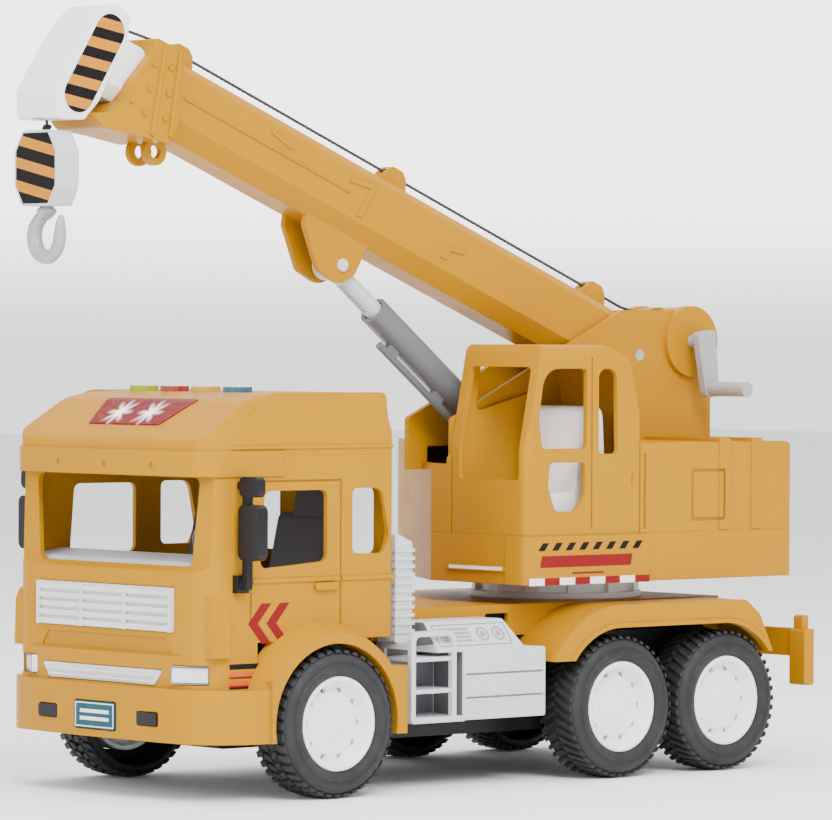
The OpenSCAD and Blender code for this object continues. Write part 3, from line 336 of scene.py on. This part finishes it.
def cab_moulding(seat_x):
    """Pale grey dashboard in front of seat_x, dark grey seats and floor behind it."""
    g = Graph("cab_interior_grey")
    split = g.add("ShaderNodeSeparateXYZ")
    g.link(g.coords, split.inputs["Vector"])
    tone = g.spread(g.noise(30, 4, 0.6), 0, 1)
    dark = g.mix(tone, (0.085, 0.087, 0.094), (0.070, 0.072, 0.078))
    pale = g.mix(tone, (0.50, 0.51, 0.53), (0.46, 0.47, 0.49))
    ahead = g.math("GREATER_THAN", split.outputs["X"], seat_x)
    g.link(g.mix(ahead, dark, pale), g.shader.inputs["Base Color"])
    g.link(g.spread(g.noise(260, 4), 0.38, 0.5), g.shader.inputs["Roughness"])
    g.shader.inputs["Specular IOR Level"].default_value = 0.3
    g.bump(g.noise(1400, 3), 0.15, 0.00015, 0.0004)
    return g.material


YELLOW = surface("plastic_yellow", (0.42, 0.19, 0.0), (0.395, 0.175, 0.0), rough=0.34, patch=9, grain=1500,
                 bump=0.08, edge=0.0006, gloss=0.10)
WHITE = surface("plastic_white", (0.86, 0.875, 0.89), (0.82, 0.835, 0.85), rough=0.33, bump=0.07,
                coat=0.2, edge=0.0005)
PALE = surface("plastic_pale_grey", (0.56, 0.575, 0.60), (0.52, 0.535, 0.56), rough=0.38, bump=0.08,
               coat=0.12, edge=0.0005)
GREY = surface("plastic_mid_grey", (0.135, 0.142, 0.155), (0.115, 0.121, 0.132), rough=0.34, bump=0.08,
               edge=0.0004, gloss=0.4)
BLACK = surface("plastic_black", (0.007, 0.007, 0.009), (0.011, 0.011, 0.013), rough=0.36, bump=0.12,
                edge=0.0005, gloss=0.2)
STEEL = surface("steel_turned", (0.60, 0.61, 0.62), (0.50, 0.51, 0.52), rough=0.28, patch=60,
                grain=2400, metal=1.0)
SATIN = surface("insert_silver_grey", (0.66, 0.67, 0.67), (0.60, 0.61, 0.61), rough=0.32, bump=0.06,
                coat=0.2, edge=0.0004)
SILVER = surface("plastic_silver", (0.34, 0.345, 0.36), (0.29, 0.295, 0.31), rough=0.3, bump=0.06,
                 edge=0.0004)
TEAL = surface("plate_teal_ink", (0.004, 0.05, 0.075), (0.006, 0.065, 0.09), rough=0.3, gloss=0.2)
BOARD = surface("board_lacquer", (0.015, 0.16, 0.05), (0.01, 0.12, 0.04), rough=0.3, coat=0.5)
CREAM = surface("gear_nylon", (0.80, 0.79, 0.72), (0.74, 0.73, 0.66), rough=0.45)
# Black ink for printed marks, also used for the painted shade in the deck's hand holes.
INK_AND_SHADE_BLACK = surface("ink_and_shade_black", (0.006, 0.005, 0.005), (0.012, 0.011, 0.011), rough=0.4, patch=200,
                    gloss=0.08)
INK_RED = surface("ink_red", (0.21, 0.005, 0.004), (0.18, 0.004, 0.004), rough=0.35, patch=200, gloss=0.15)
INK_ORANGE = surface("ink_orange", (0.56, 0.10, 0.015), (0.50, 0.085, 0.012), rough=0.35, patch=200,
                     gloss=0.15)
INK_WHITE = surface("ink_white", (0.85, 0.84, 0.82), (0.80, 0.79, 0.77), rough=0.35, patch=200, gloss=0.25)
VENT_GREY = surface("vent_grey", (0.30, 0.31, 0.33), (0.26, 0.27, 0.29), rough=0.4, patch=60, gloss=0.3)
FRAME_GREY = surface("step_frame_grey", (0.15, 0.155, 0.165), (0.13, 0.135, 0.145), rough=0.4, patch=40,
                     gloss=0.3)
LINE_GREY = surface("panel_line_grey", (0.22, 0.225, 0.235), (0.19, 0.195, 0.205), rough=0.45, patch=80,
                    gloss=0.2)
GLASS = surface("mirror_silver", (0.82, 0.84, 0.86), (0.78, 0.80, 0.82), rough=0.09, spread=0.02,
                bump=0.01, metal=1.0)
LAMP = surface("lamp_clear_ribbed", (0.78, 0.80, 0.82), (0.70, 0.72, 0.75), rough=0.16, coat=0.8,
               grain=900, bump=0.3)
RUBBER = rubber()
FIBRE = rope_fibre()
SEAT_FRONT = truck(28, 0, 0).x
CAB_GREY = cab_moulding(SEAT_FRONT)
HAZARD_ORANGE = (0.50, 0.20, 0.018)
HAZARD_BLACK = (0.006, 0.005, 0.006)

BUTTONS = {
    "button_green": surface("button_green_ink", (0.25, 0.36, 0.004), (0.22, 0.32, 0.004), rough=0.25,
                            gloss=0.3),
    "button_red": surface("button_red_ink", (0.26, 0.008, 0.005), (0.23, 0.007, 0.005), rough=0.25,
                          coat=0.5),
    "button_yellow": surface("button_yellow_ink", (0.52, 0.27, 0.004), (0.48, 0.25, 0.004), rough=0.25,
                             coat=0.5),
    "button_blue": surface("button_blue_ink", (0.005, 0.09, 0.16), (0.004, 0.08, 0.14), rough=0.25,
                           coat=0.5),
}

FINISH = {
    "chassis_frame": BLACK, "chassis_deck": YELLOW, "rear_bumper": YELLOW, "gearbox_housing": BLACK,
    "gearbox_cover": BLACK, "screws": STEEL, "front_axle": STEEL, "middle_axle": STEEL, "rear_axle": STEEL,
    "drive_gear": CREAM, "flywheel": STEEL, "front_rims": WHITE, "middle_rims": WHITE, "rear_rims": WHITE,
    "front_tyres": RUBBER, "middle_tyres": RUBBER, "rear_tyres": RUBBER,
    "cab_shell": YELLOW, "cab_roof": YELLOW, "cab_interior": CAB_GREY, "steering_wheel": GREY,
    "grilles": SATIN, "headlamps": LAMP, "fog_lamps": BLACK, "number_plate": TEAL, "mirrors": BLACK,
    "air_intakes": PALE, "side_units": PALE, "circuit_board": BOARD, "speaker": GREY, "button_cells": STEEL,
    "slewing_ring": WHITE, "turret_retainer": STEEL, "turret_base": YELLOW, "turret_body": YELLOW,
    "operator_cab": YELLOW, "operator_seat": WHITE, "hinge_pins": STEEL, "winch_drum": GREY,
    "winch_crank": SILVER, "boom_outer": YELLOW, "clevis_pin": PALE, "boom_inner": WHITE, "boom_head": WHITE,
    "sheave": GREY, "sheave_pin": STEEL, "strut_barrel": GREY, "strut_rod": PALE, "hook_block": PALE,
    "hook": SILVER, **BUTTONS,
}


def shading_group():
    """Welds a CAD mesh and shades it smooth, except across its sharp edges."""
    group = bpy.data.node_groups.new("smooth_by_angle", "GeometryNodeTree")
    group.interface.new_socket("Geometry", in_out="INPUT", socket_type="NodeSocketGeometry")
    group.interface.new_socket("Geometry", in_out="OUTPUT", socket_type="NodeSocketGeometry")
    add = group.nodes.new
    source, result = add("NodeGroupInput"), add("NodeGroupOutput")
    weld = add("GeometryNodeMergeByDistance")
    weld.inputs["Distance"].default_value = 0.000004
    plain = add("GeometryNodeRemoveAttribute")
    plain.inputs["Name"].default_value = "custom_normal"
    faces = add("GeometryNodeSetShadeSmooth")
    angle = add("GeometryNodeInputMeshEdgeAngle")
    sharp = add("FunctionNodeCompare")
    sharp.operation = "GREATER_THAN"
    sharp.inputs["B"].default_value = math.radians(27)
    edges = add("GeometryNodeSetShadeSmooth")
    edges.domain = "EDGE"
    edges.inputs["Shade Smooth"].default_value = False
    link = group.links.new
    link(source.outputs[0], weld.inputs["Geometry"])
    link(weld.outputs["Geometry"], plain.inputs["Geometry"])
    link(plain.outputs["Geometry"], faces.inputs["Geometry"])
    link(faces.outputs["Geometry"], edges.inputs["Geometry"])
    link(angle.outputs["Unsigned Angle"], sharp.inputs["A"])
    link(sharp.outputs["Result"], edges.inputs["Selection"])
    link(edges.outputs["Geometry"], result.inputs[0])
    return group


SHADING = shading_group()


def dress(obj, material):
    """Gives a CAD object its material and smooth shading."""
    obj.data.materials.clear()
    obj.data.materials.append(material)
    obj.modifiers.new("smooth_by_angle", "NODES").node_group = SHADING


def finish_cad_nodes():
    """Dresses every CAD object that FINISH lists."""
    for name, obj in nodes.items():
        if name in FINISH:
            dress(obj, FINISH[name])


# ---------------------------------------------------------------- mesh helpers


def add_piece(name, mesh, material, body, slot, *replaced):
    """Links a finished mesh as a piece; it rides on a CAD body unless body is None."""
    mesh.materials.append(material)
    obj = bpy.data.objects.new(name, mesh)
    bpy.context.scene.collection.objects.link(obj)
    if body:
        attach(obj, body)
    if replaced:
        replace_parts(obj, *replaced)
    return obj


def to_mesh(bm, name, smooth=True):
    """Turns a finished bmesh into a mesh with its faces facing outwards."""
    bmesh.ops.recalc_face_normals(bm, faces=bm.faces)
    for face in bm.faces:
        face.smooth = smooth
    mesh = bpy.data.meshes.new(name)
    bm.to_mesh(mesh)
    bm.free()
    return mesh


def lathe(bm, profile, centre, side, steps=96):
    """Turns (radius, offset) points in mm about the y axis through centre; offsets count towards side."""
    rings = []
    for r, y in profile:
        ring = []
        for i in range(steps):
            a = 2 * math.pi * i / steps
            ring.append(bm.verts.new(centre + Vector((r * math.cos(a), side * y, r * math.sin(a))) * MM))
        rings.append(ring)
    for inner, outer in zip(rings, rings[1:] + rings[:1]):
        for i in range(steps):
            j = (i + 1) % steps
            bm.faces.new((inner[i], inner[j], outer[j], outer[i]))


def add_slab(bm, corners, lift):
    """A thin closed slab: corners in order round its face, and the vector to its other face."""
    low = [bm.verts.new(c) for c in corners]
    high = [bm.verts.new(c + lift) for c in corners]
    bm.faces.new(low)
    bm.faces.new(list(reversed(high)))
    count = len(corners)
    for i in range(count):
        j = (i + 1) % count
        bm.faces.new((low[i], high[i], high[j], low[j]))


STICKER = 0.12


def sticker(name, shapes, put, lift, material, body, slot):
    """Printed film: flat shapes of (u, v) corners laid on a surface by put, standing off it along lift."""
    bm = bmesh.new()
    for shape in shapes:
        add_slab(bm, [put(u, v) for u, v in shape], lift * STICKER * MM)
    return add_piece(name, to_mesh(bm, name, smooth=False), material, body, slot)


def bar(u0, v0, u1, v1, lean=0.0):
    """A bar from v0 to v1; its top leans by lean."""
    return [(u0, v0), (u1, v0), (u1 + lean, v1), (u0 + lean, v1)]


def border(u0, v0, u1, v1, wide, tall):
    """Four bars just inside the rectangle from (u0, v0) to (u1, v1)."""
    return [bar(u0, v0, u1, v0 + tall), bar(u0, v1 - tall, u1, v1),
            bar(u0, v0 + tall, u0 + wide, v1 - tall), bar(u1 - wide, v0 + tall, u1, v1 - tall)]


def disc(u, v, r, count=48, inner=0.0):
    """A disc, or a ring when inner is given."""
    arc = [math.radians(360.0 * i / count) for i in range(count + (inner > 0))]
    points = [(u + r * math.cos(a), v + r * math.sin(a)) for a in arc]
    if inner:
        points += [(u + inner * math.cos(a), v + inner * math.sin(a)) for a in reversed(arc)]
    return points


def sweep(bm, points, radii, sides, side=(0, 1, 0), flat=None, lobes=0, lobe=0.0, pitch=1.0):
    """A tube through points; flat squeezes it along side, and lobes twist it into strands of that pitch."""
    rings = []
    travelled = 0.0
    side = Vector(side)
    for i, point in enumerate(points):
        before, after = points[max(i - 1, 0)], points[min(i + 1, len(points) - 1)]
        heading = (after - before).normalized()
        across = (side - heading * side.dot(heading)).normalized()
        other = heading.cross(across)
        if i:
            travelled += (point - points[i - 1]).length
        turn = 2 * math.pi * travelled / pitch
        squeeze = flat[i] if flat else 1.0
        ring = []
        for k in range(sides):
            a = 2 * math.pi * k / sides
            r = radii[i] * (1 + lobe * math.cos(lobes * (a - turn)))
            edge = across * (r * math.cos(a) * squeeze) + other * (r * math.sin(a))
            ring.append(bm.verts.new(point + edge))
        rings.append(ring)
    for first, second in zip(rings, rings[1:]):
        for k in range(sides):
            m = (k + 1) % sides
            bm.faces.new((first[k], first[m], second[m], second[k]))
    bm.faces.new(list(reversed(rings[0])))
    bm.faces.new(rings[-1])


def resample(points, step):
    """Points at an even spacing along a polyline."""
    out = [points[0].copy()]
    for a, b in zip(points, points[1:]):
        count = max(1, round((b - a).length / step))
        out += [a.lerp(b, (i + 1) / count) for i in range(count)]
    return out


# ---------------------------------------------------------------- wheels

TYRE_R = 30.0
TYRE_W = 21.0
TREAD_R = 28.3
TRACK = 74.5

# Blocks round each tyre, and the rows across its tread: start and length in steps round the tyre, the two
# offsets from the outer face, and how far the second end is shifted in steps.
TREADS = {
    "front": (40, (
        (0.0, 0.66, -1.2, -5.9, 0.25), (0.5, 0.70, -6.7, -10.2, -0.25),
        (0.0, 0.70, -10.9, -14.4, 0.25), (0.5, 0.66, -15.1, -19.8, -0.25),
    )),
    "back": (44, ((0.0, 0.52, -1.0, -9.9, 0.9), (0.5, 0.52, -20.0, -11.1, 0.9))),
}


def tyre_profile():
    """Carcass outline as (radius, offset from the outer face), open towards the rim."""
    return [
        (19.15, -0.9), (19.5, -0.2), (20.6, 0.1), (21.4, 0.55), (23.2, 0.6), (23.6, 0.2), (24.4, 0.15),
        (24.8, 0.5), (26.0, 0.3), (27.2, -0.5), (28.2, -1.9), (28.55, -3.6), (28.65, -8.0), (28.65, -13.0),
        (28.55, -17.4), (28.0, -19.3), (26.8, -20.6), (25.6, -21.0), (25.0, -20.0), (25.8, -17.5),
        (26.2, -14.0), (26.2, -6.5), (25.2, -4.2), (22.5, -3.4), (19.6, -3.9), (19.15, -3.0),
    ]


def add_lug(bm, centre, side, angle, spread, y0, y1, shift):
    """One tread block, spread degrees long, from y0 to y1 across; its far end is shifted in degrees."""
    def at(r, a, y):
        a = math.radians(a)
        return centre + Vector((r * math.cos(a), side * y, r * math.sin(a))) * MM

    corners = []
    for r, grow in ((TREAD_R, 1.0), (TYRE_R - 0.04, 0.8)):
        for y, twist in ((y0, 0.0), (y1, shift)):
            middle = (y0 + y1) / 2
            depth = middle + (y - middle) * (0.94 if grow < 1 else 1)
            drop = 0.5 if grow < 1 and abs(y + TYRE_W / 2) > 9 else 0.0
            for direction in (-1, 1):
                turn = angle + twist + direction * spread / 2 * grow
                corners.append(bm.verts.new(at(r - drop, turn, depth)))
    a, b, c, d, e, f, g, h = corners
    for quad in ((e, f, h, g), (a, b, f, e), (c, g, h, d), (a, e, g, c), (b, d, h, f), (a, c, d, b)):
        bm.faces.new(quad)


def add_tyres():
    """Six tyres: a carcass each, with rows of tread blocks."""
    for end, centre in AXLES.items():
        for hand, side in (("left", 1), ("right", -1)):
            bm = bmesh.new()
            hub = Vector((centre.x, side * TRACK * MM, centre.z))
            lathe(bm, tyre_profile(), hub, side)
            count, rows = TREADS["front" if end == "front" else "back"]
            step = 360 / count
            for i in range(count):
                for start, length, y0, y1, shift in rows:
                    add_lug(bm, hub, side, (i + start) * step, length * step, y0, y1, shift * step)
            name = f"tyre_{end}_{hand}"
            obj = add_piece(name, to_mesh(bm, name), RUBBER, f"{end}_wheels", "tyre_rubber", f"{end}_tyres")
            obj.modifiers.new("smooth_by_angle", "NODES").node_group = SHADING


# ---------------------------------------------------------------- rope, hook and head

ROPE_R = 0.62 * MM


def add_rope(name, points, body):
    """A three-strand rope along a polyline."""
    bm = bmesh.new()
    path = resample(points, 0.0009)
    sweep(bm, path, [ROPE_R] * len(path), sides=12, lobes=3, lobe=0.12, pitch=0.0075)
    return add_piece(name, to_mesh(bm, name), FIBRE, body, "rope_cord")


def add_ropes():
    """The rope from the drum, along the boom and over the sheave."""
    tangent = Vector((-0.28, 0, 0.96)) * 7.4 * MM
    lead = [DRUM + tangent, truck(-240.5, 0, 194.5), boom(5, 0, 20.4), boom(12, 0, 20.4)]
    piece = add_rope("rope_lead", lead, None)
    tuple(lead[1])
    tuple(lead[2])
    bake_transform(piece)
    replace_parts(piece, "rope_at_winch")
    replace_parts(add_rope("rope_along_boom", [boom(12, 0, 20.4), boom(280, 0, 20.4)], "boom"), "rope_on_boom")
    front = [boom(280, 0, 20.4), boom(287, 0, 20.2), boom(312, 0, 16.6)]
    piece = add_rope("rope_front", front, None)
    tuple(front[0])
    tuple(front[2])
    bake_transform(piece)
    over = [boom(312, 0, 16.6), boom(329.3, 0, -14.5), boom(329.9, 0, -19.5), boom(325.7, 0, -30.2)]
    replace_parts(add_rope("rope_over_sheave", over, "telescope"), "rope_in_head")


def add_knot():
    """The drop and its overhand knot on top of the hook block."""
    top = DROP + Vector((0, 0, -0.001))
    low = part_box("rope_knot")[0].z
    piece = add_rope("rope_fall", [top, Vector((DROP.x, 0, low + 0.0035))], None)
    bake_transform(piece)
    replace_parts(piece, "rope_drop")
    bm = bmesh.new()
    centre = Vector((DROP.x, 0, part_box("hook_block")[1].z + 0.0013))
    turns = []
    for i in range(61):
        a = 2 * math.pi * i / 60
        wide = 0.0011 + 0.0005 * math.cos(3 * a)
        offset = Vector((wide * math.cos(2 * a), wide * math.sin(2 * a), 0.0007 * math.sin(3 * a)))
        turns.append(centre + offset)
    sweep(bm, turns, [0.0005] * len(turns), sides=8)
    knot = add_piece("rope_knot_tied", to_mesh(bm, "rope_knot_tied"), FIBRE, "hook_block", "rope_cord")
    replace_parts(knot, "rope_knot")


def add_hook():
    """Cast hook: swivel shank and collar, a thick bow and a blunt point."""
    low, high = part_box("hook")
    x = (low.x + high.x) / 2
    bow = Vector((x, 0.0004, low.z + 0.0115))
    under_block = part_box("hook_block")[0].z
    path, radii, flat = [], [], []

    def put(point, r, f=1.0):
        path.append(point)
        radii.append(r * MM)
        flat.append(f)

    put(Vector((x, 0, high.z)), 2.0)
    for drop, r in ((0.6, 2.0), (0.9, 4.1), (2.6, 4.4), (3.6, 3.6)):
        put(Vector((x, 0, under_block - drop * MM)), r)
    put(Vector((x, -0.0006, bow.z + 0.0098)), 2.7)
    for i in range(15):
        a = math.radians(112 + i * 17)
        thick = 2.75 + 0.55 * math.sin(math.pi * min(i, 11) / 11)
        put(bow + Vector((0, 8.3 * math.cos(a), 8.3 * math.sin(a))) * MM, thick, 0.95)
    for rise, lean, thick in ((1.6, 8.35, 2.6), (4.2, 8.6, 2.2), (6.8, 8.9, 1.7), (8.6, 9.1, 0.8)):
        put(bow + Vector((0, lean, rise)) * MM, thick, 0.95)
    bm = bmesh.new()
    sweep(bm, path, radii, sides=20, side=(1, 0, 0), flat=flat)
    hook = add_piece("hook_cast", to_mesh(bm, "hook_cast"), SILVER, "hook", "mid_grey_plastic", "hook")
    smooth = hook.modifiers.new("smooth", "SUBSURF")
    smooth.levels = smooth.render_levels = 2


def add_block_stickers():
    """Hazard film on the front and the back of the hook block."""
    low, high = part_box("hook_block")
    half = (high.y - low.y) / 2 / MM - 1.2
    top = (high.z - low.z) / 2 / MM - 1.0
    shape = [(half - 4.6, top), (-half + 4.6, top), (-half, 6.9), (-half, -6.9), (-half + 4.6, -top),
             (half - 4.6, -top), (half, -6.9), (half, 6.9)]
    middle = (low.z + high.z) / 2
    pitch = 0.0089
    film = slant("film_block_hazard", HAZARD_BLACK, HAZARD_ORANGE, pitch, (0, 0.2, 0.98), gap=0.54,
                 offset=-0.98 * (middle + 0.0112) / pitch)

    def put(u, v):
        return Vector((x, u * MM, middle + v * MM))

    for side, x in (("front", high.x), ("back", low.x)):
        lift = Vector((1 if side == "front" else -1, 0, 0))
        sticker(f"film_block_{side}", [shape], put, lift, film, "hook_block", "light_grey_plastic")


def add_head_stickers():
    """Hazard film, rounded at both ends, on each side of the boom head."""
    low, high = Vector((323.2, -19.8)), Vector((318.2, 9.6))
    radius = 7.2
    axis = (high - low).normalized()
    across = Vector((axis.y, -axis.x))
    turns = [math.radians(12 * i) for i in range(16)]
    outline = [high + (across * math.cos(a) + axis * math.sin(a)) * radius for a in turns]
    outline += [low - (across * math.cos(a) + axis * math.sin(a)) * radius for a in turns]
    pitch, gap = 0.0084, 0.5
    normal = (UP_BOOM * 0.978 + ALONG * 0.208).normalized()
    film = slant("film_head_hazard", HAZARD_BLACK, HAZARD_ORANGE, pitch, tuple(normal), gap=gap,
                 offset=gap - normal.dot(boom(319.7, 0, 1.35)) / pitch)

    def put(u, v):
        return boom(u, y, v)

    for hand, y in (("left", 12.5), ("right", -12.5)):
        lift = Vector((0, math.copysign(1, y), 0))
        sticker(f"film_head_{hand}", [[tuple(p) for p in outline]], put, lift, film, "telescope",
                "white_plastic")


# ---------------------------------------------------------------- printed decals


OUT_LEFT = Vector((0, 1, 0))
CAB_SIDE = 62.5
BAND_SIDE = 62.7
CHECK = 8.7


def chevron(tip, middle, reach=7.0, rise=8.0, wide=5.0):
    """The two arms of a chevron that points forwards."""
    arms = []
    for far in (middle + rise, middle - rise):
        arms.append([(tip, middle), (tip - reach, far), (tip - reach - wide, far), (tip - wide, middle)])
    return arms


def add_door_decals():
    """Each door: two plain chevrons, and three stripes before the arch."""
    films = [
        ("chevrons", chevron(38.0, 70.5) + chevron(28.5, 70.5), INK_RED),
        ("stripe_black", [bar(47.4, 52.8, 28.4, 54.9), bar(47.4, 44.4, 31.6, 45.7)], INK_AND_SHADE_BLACK),
        ("stripe_orange", [bar(47.4, 49.9, 28.8, 51.8), bar(47.4, 46.4, 30.6, 48.0)], INK_ORANGE),
        ("stripe_red", [bar(47.4, 49.1, 29.4, 49.9), bar(47.4, 45.7, 31.0, 46.4)], INK_RED),
    ]

    def put(u, v):
        return truck(u, side * CAB_SIDE, v)

    for hand, side in (("left", 1), ("right", -1)):
        for part, shapes, ink in films:
            sticker(f"decal_{part}_{hand}", shapes, put, OUT_LEFT * side, ink, "carrier", "yellow_plastic")


def add_turret_decals():
    """On the raised band: slanted dashes, a plain bar, a line and a chequered strip; a line in front."""
    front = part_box("turret_base")[1].x
    starts = [-113.4 - i * 2 * CHECK for i in range(4)]
    films = [
        ("dashes", [bar(-118.5 - i * 7.75, 95.6, -122.0 - i * 7.75, 98.8, lean=-2.6) for i in range(8)],
         INK_AND_SHADE_BLACK),
        ("bar", [bar(-119.5, 88.6, -171.8, 93.4, lean=-1.0)], INK_RED),
        ("line", [bar(-138.0, 85.6, -156.0, 86.4)], INK_RED),
        ("check_white", [bar(x, 81.2, x - CHECK, 84.2) for x in starts], INK_WHITE),
        ("check_red", [bar(x - CHECK, 81.2, x - 2 * CHECK, 84.2) for x in starts], INK_RED),
    ]

    def on_band(u, v):
        return truck(u, BAND_SIDE, v)

    def on_front(u, v):
        return Vector((front, u * MM, v * MM))

    for part, shapes, ink in films:
        sticker(f"decal_{part}", shapes, on_band, OUT_LEFT, ink, "superstructure", "yellow_plastic")
    sticker("decal_front_line", [bar(15.5, 87.2, 48.5, 88.6)], on_front, FORWARDS, INK_WHITE,
            "superstructure", "yellow_plastic")


def add_plate_marks():
    """White border and two plain bars on the number plate."""
    low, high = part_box("number_plate")

    def put(u, v):
        return Vector((high.x, u * MM, (low.z + high.z) / 2 + v * MM))

    marks = [bar(-9.2, 0.8, 9.2, 2.2), bar(-9.2, -2.2, 9.2, -0.8)]
    sticker("plate_border", border(-12.3, -4.9, 12.3, 4.9, 0.4, 0.4), put, FORWARDS, INK_WHITE, "carrier",
            "plate_teal")
    sticker("plate_marks", marks, put, FORWARDS, INK_WHITE, "carrier", "plate_teal")


def add_button_marks():
    """A moulded ring and a plain symbol on each sound button."""
    rim = disc(0, 0, 5.4, 40, inner=4.7)
    shapes = {
        "button_green": [bar(-2.2, -0.7, 2.2, 0.7), bar(-0.7, -2.2, 0.7, 2.2)],
        "button_red": [disc(0, 0, 2.2, 24)],
        "button_yellow": [[(-2.2, -1.8), (2.2, -1.8), (0, 2.2)]],
        "button_blue": [bar(-2.1, -2.1, 2.1, 2.1)],
    }

    def put(u, v):
        return Vector(((low.x + high.x) / 2 + v * MM, (low.y + high.y) / 2 + u * MM, high.z))

    for name, marks in shapes.items():
        low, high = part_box(name)
        body = name.split("_")[1] + "_button"
        sticker(f"{name}_mark", [*marks, rim], put, UP, INK_WHITE, body, f"{name}_plastic")


# ---------------------------------------------------------------- lamps, mirrors and cab details


def add_roof_lens():
    """The red lens on the roof, with two lamps behind it."""
    low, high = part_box("roof_lamp_lens")
    spots = [Vector((low.x * 0.42 + high.x * 0.58, y * MM, 0)) for y in (-10.5, 9.0)]
    dress(nodes["roof_lamp_lens"], lamp_red(spots, 5.2 * MM))


# The left head lamp: the middle of its seat, its turn outwards in degrees, and how far its face stands out.
LAMP_AT = (58.2, 51.6, 50.5)
LAMP_TURN = 30
LAMP_PROUD = 0.9


def add_headlamp_bezels():
    """Dark bezel round each head lamp and ribs on its lens."""
    for hand, side in (("left", 1), ("right", -1)):
        turn = Matrix.Rotation(math.radians(LAMP_TURN * side), 3, "Z")
        out = turn @ FORWARDS
        face = truck(LAMP_AT[0], side * LAMP_AT[1], LAMP_AT[2]) + out * LAMP_PROUD * MM
        edge = border(-8.3, -3.5, 8.3, 3.5, 0.6, 0.65)
        ribs = [bar(-7.0 + i * 1.6, -2.5, -6.7 + i * 1.6, 2.5) for i in range(9)]
        for part, shapes, height, material, slot in (
            ("bezel", edge, 0.3, FRAME_GREY, "mid_grey_plastic"), ("ribs", ribs, 0.15, LAMP, "lamp_clear"),
        ):
            bm = bmesh.new()
            for shape in shapes:
                corners = [face + turn @ Vector((0, u * MM, v * MM)) for u, v in shape]
                add_slab(bm, corners, out * height * MM)
            add_piece(f"headlamp_{part}_{hand}", to_mesh(bm, part, smooth=False), material, "carrier", slot)


def add_locker_details():
    """Vents, panel lines, the darker faces of the steps and lockers, and a black film of painted shade in the
    deck's hand hole, on both sides.
    """
    slope = Vector((0, -8.5, 11.4)).normalized()
    panel = border(-98.5, 1.6, -58.5, 12.2, 0.4, 0.4)
    vents = [bar(-61.0, 3.6 + i * 1.9, -77.5, 4.6 + i * 1.9) for i in range(4)]
    for x in (-84.5, -93.0):
        vents += [disc(x, 7.0, 3.4, inner=2.4), disc(x, 7.0, 1.5, 24)]
    grooves = [bar(-72.2, z, -114.4, z + 0.7) for z in (36.65, 46.25)]
    walls = [bar(-44.6, 30.3, -69.6, 57.4)]
    # Painted shade: a black film in the deck's hand hole.
    hole_shade = [bar(-102.5, 64.6, -116.5, 70.0)]
    ends = [bar(52.2, 28.4, 69.6, 55.6)]
    tops = [[(47.4, 57.0), (67.8, 59.4), (61.2, 67.9), (47.4, 67.9)]]

    def on_slope(u, v):
        return truck(u, side * (70 + slope.y * v), 57 + slope.z * v)

    def on_side(u, v):
        return truck(u, side * depth, v)

    def on_end(u, v):
        return truck(depth, side * u, v)

    for hand, side in (("left", 1), ("right", -1)):
        tilt = Vector((0, side * slope.z, -slope.y))
        for part, shapes, material in (("panel", panel, LINE_GREY), ("vents", vents, VENT_GREY)):
            sticker(f"locker_{part}_{hand}", shapes, on_slope, tilt, material, "carrier",
                    "light_grey_plastic")
        for part, shapes, depth, material in (
            ("grooves", grooves, 69.4, LINE_GREY), ("back", walls, 52, FRAME_GREY),
            ("shade", hole_shade, 44.3, INK_AND_SHADE_BLACK),
        ):
            sticker(f"locker_{part}_{hand}", shapes, on_side, OUT_LEFT * side, material, "carrier",
                    "light_grey_plastic")
        for part, shapes, depth in (("end", ends, -70), ("brow", tops, -56)):
            sticker(f"locker_{part}_{hand}", shapes, on_end, FORWARDS, FRAME_GREY, "carrier",
                    "light_grey_plastic")


def add_mirror_glass():
    """Silvered glass on the rear face of each mirror, its corners cut."""
    cut = 1.6
    glasses = [("main", (67.2, 75.4), (98, 116), 40.5), ("small", (67.0, 74.4), (122, 128), 41.0)]

    def put(u, v):
        return truck(x, side * u, v)

    for hand, side in (("left", 1), ("right", -1)):
        for part, (y0, y1), (z0, z1), x in glasses:
            shape = [(y0 + cut, z0), (y1 - cut, z0), (y1, z0 + cut), (y1, z1 - cut), (y1 - cut, z1),
                     (y0 + cut, z1), (y0, z1 - cut), (y0, z0 + cut)]
            sticker(f"mirror_glass_{part}_{hand}", [shape], put, -FORWARDS, GLASS, "carrier", "steel")


# ---------------------------------------------------------------- everything

add_camera()
add_studio()
finish_cad_nodes()
add_tyres()
add_ropes()
add_knot()
add_hook()
add_block_stickers()
add_head_stickers()
add_door_decals()
add_turret_decals()
add_plate_marks()
add_button_marks()
add_roof_lens()
add_headlamp_bezels()
add_locker_details()
add_mirror_glass()
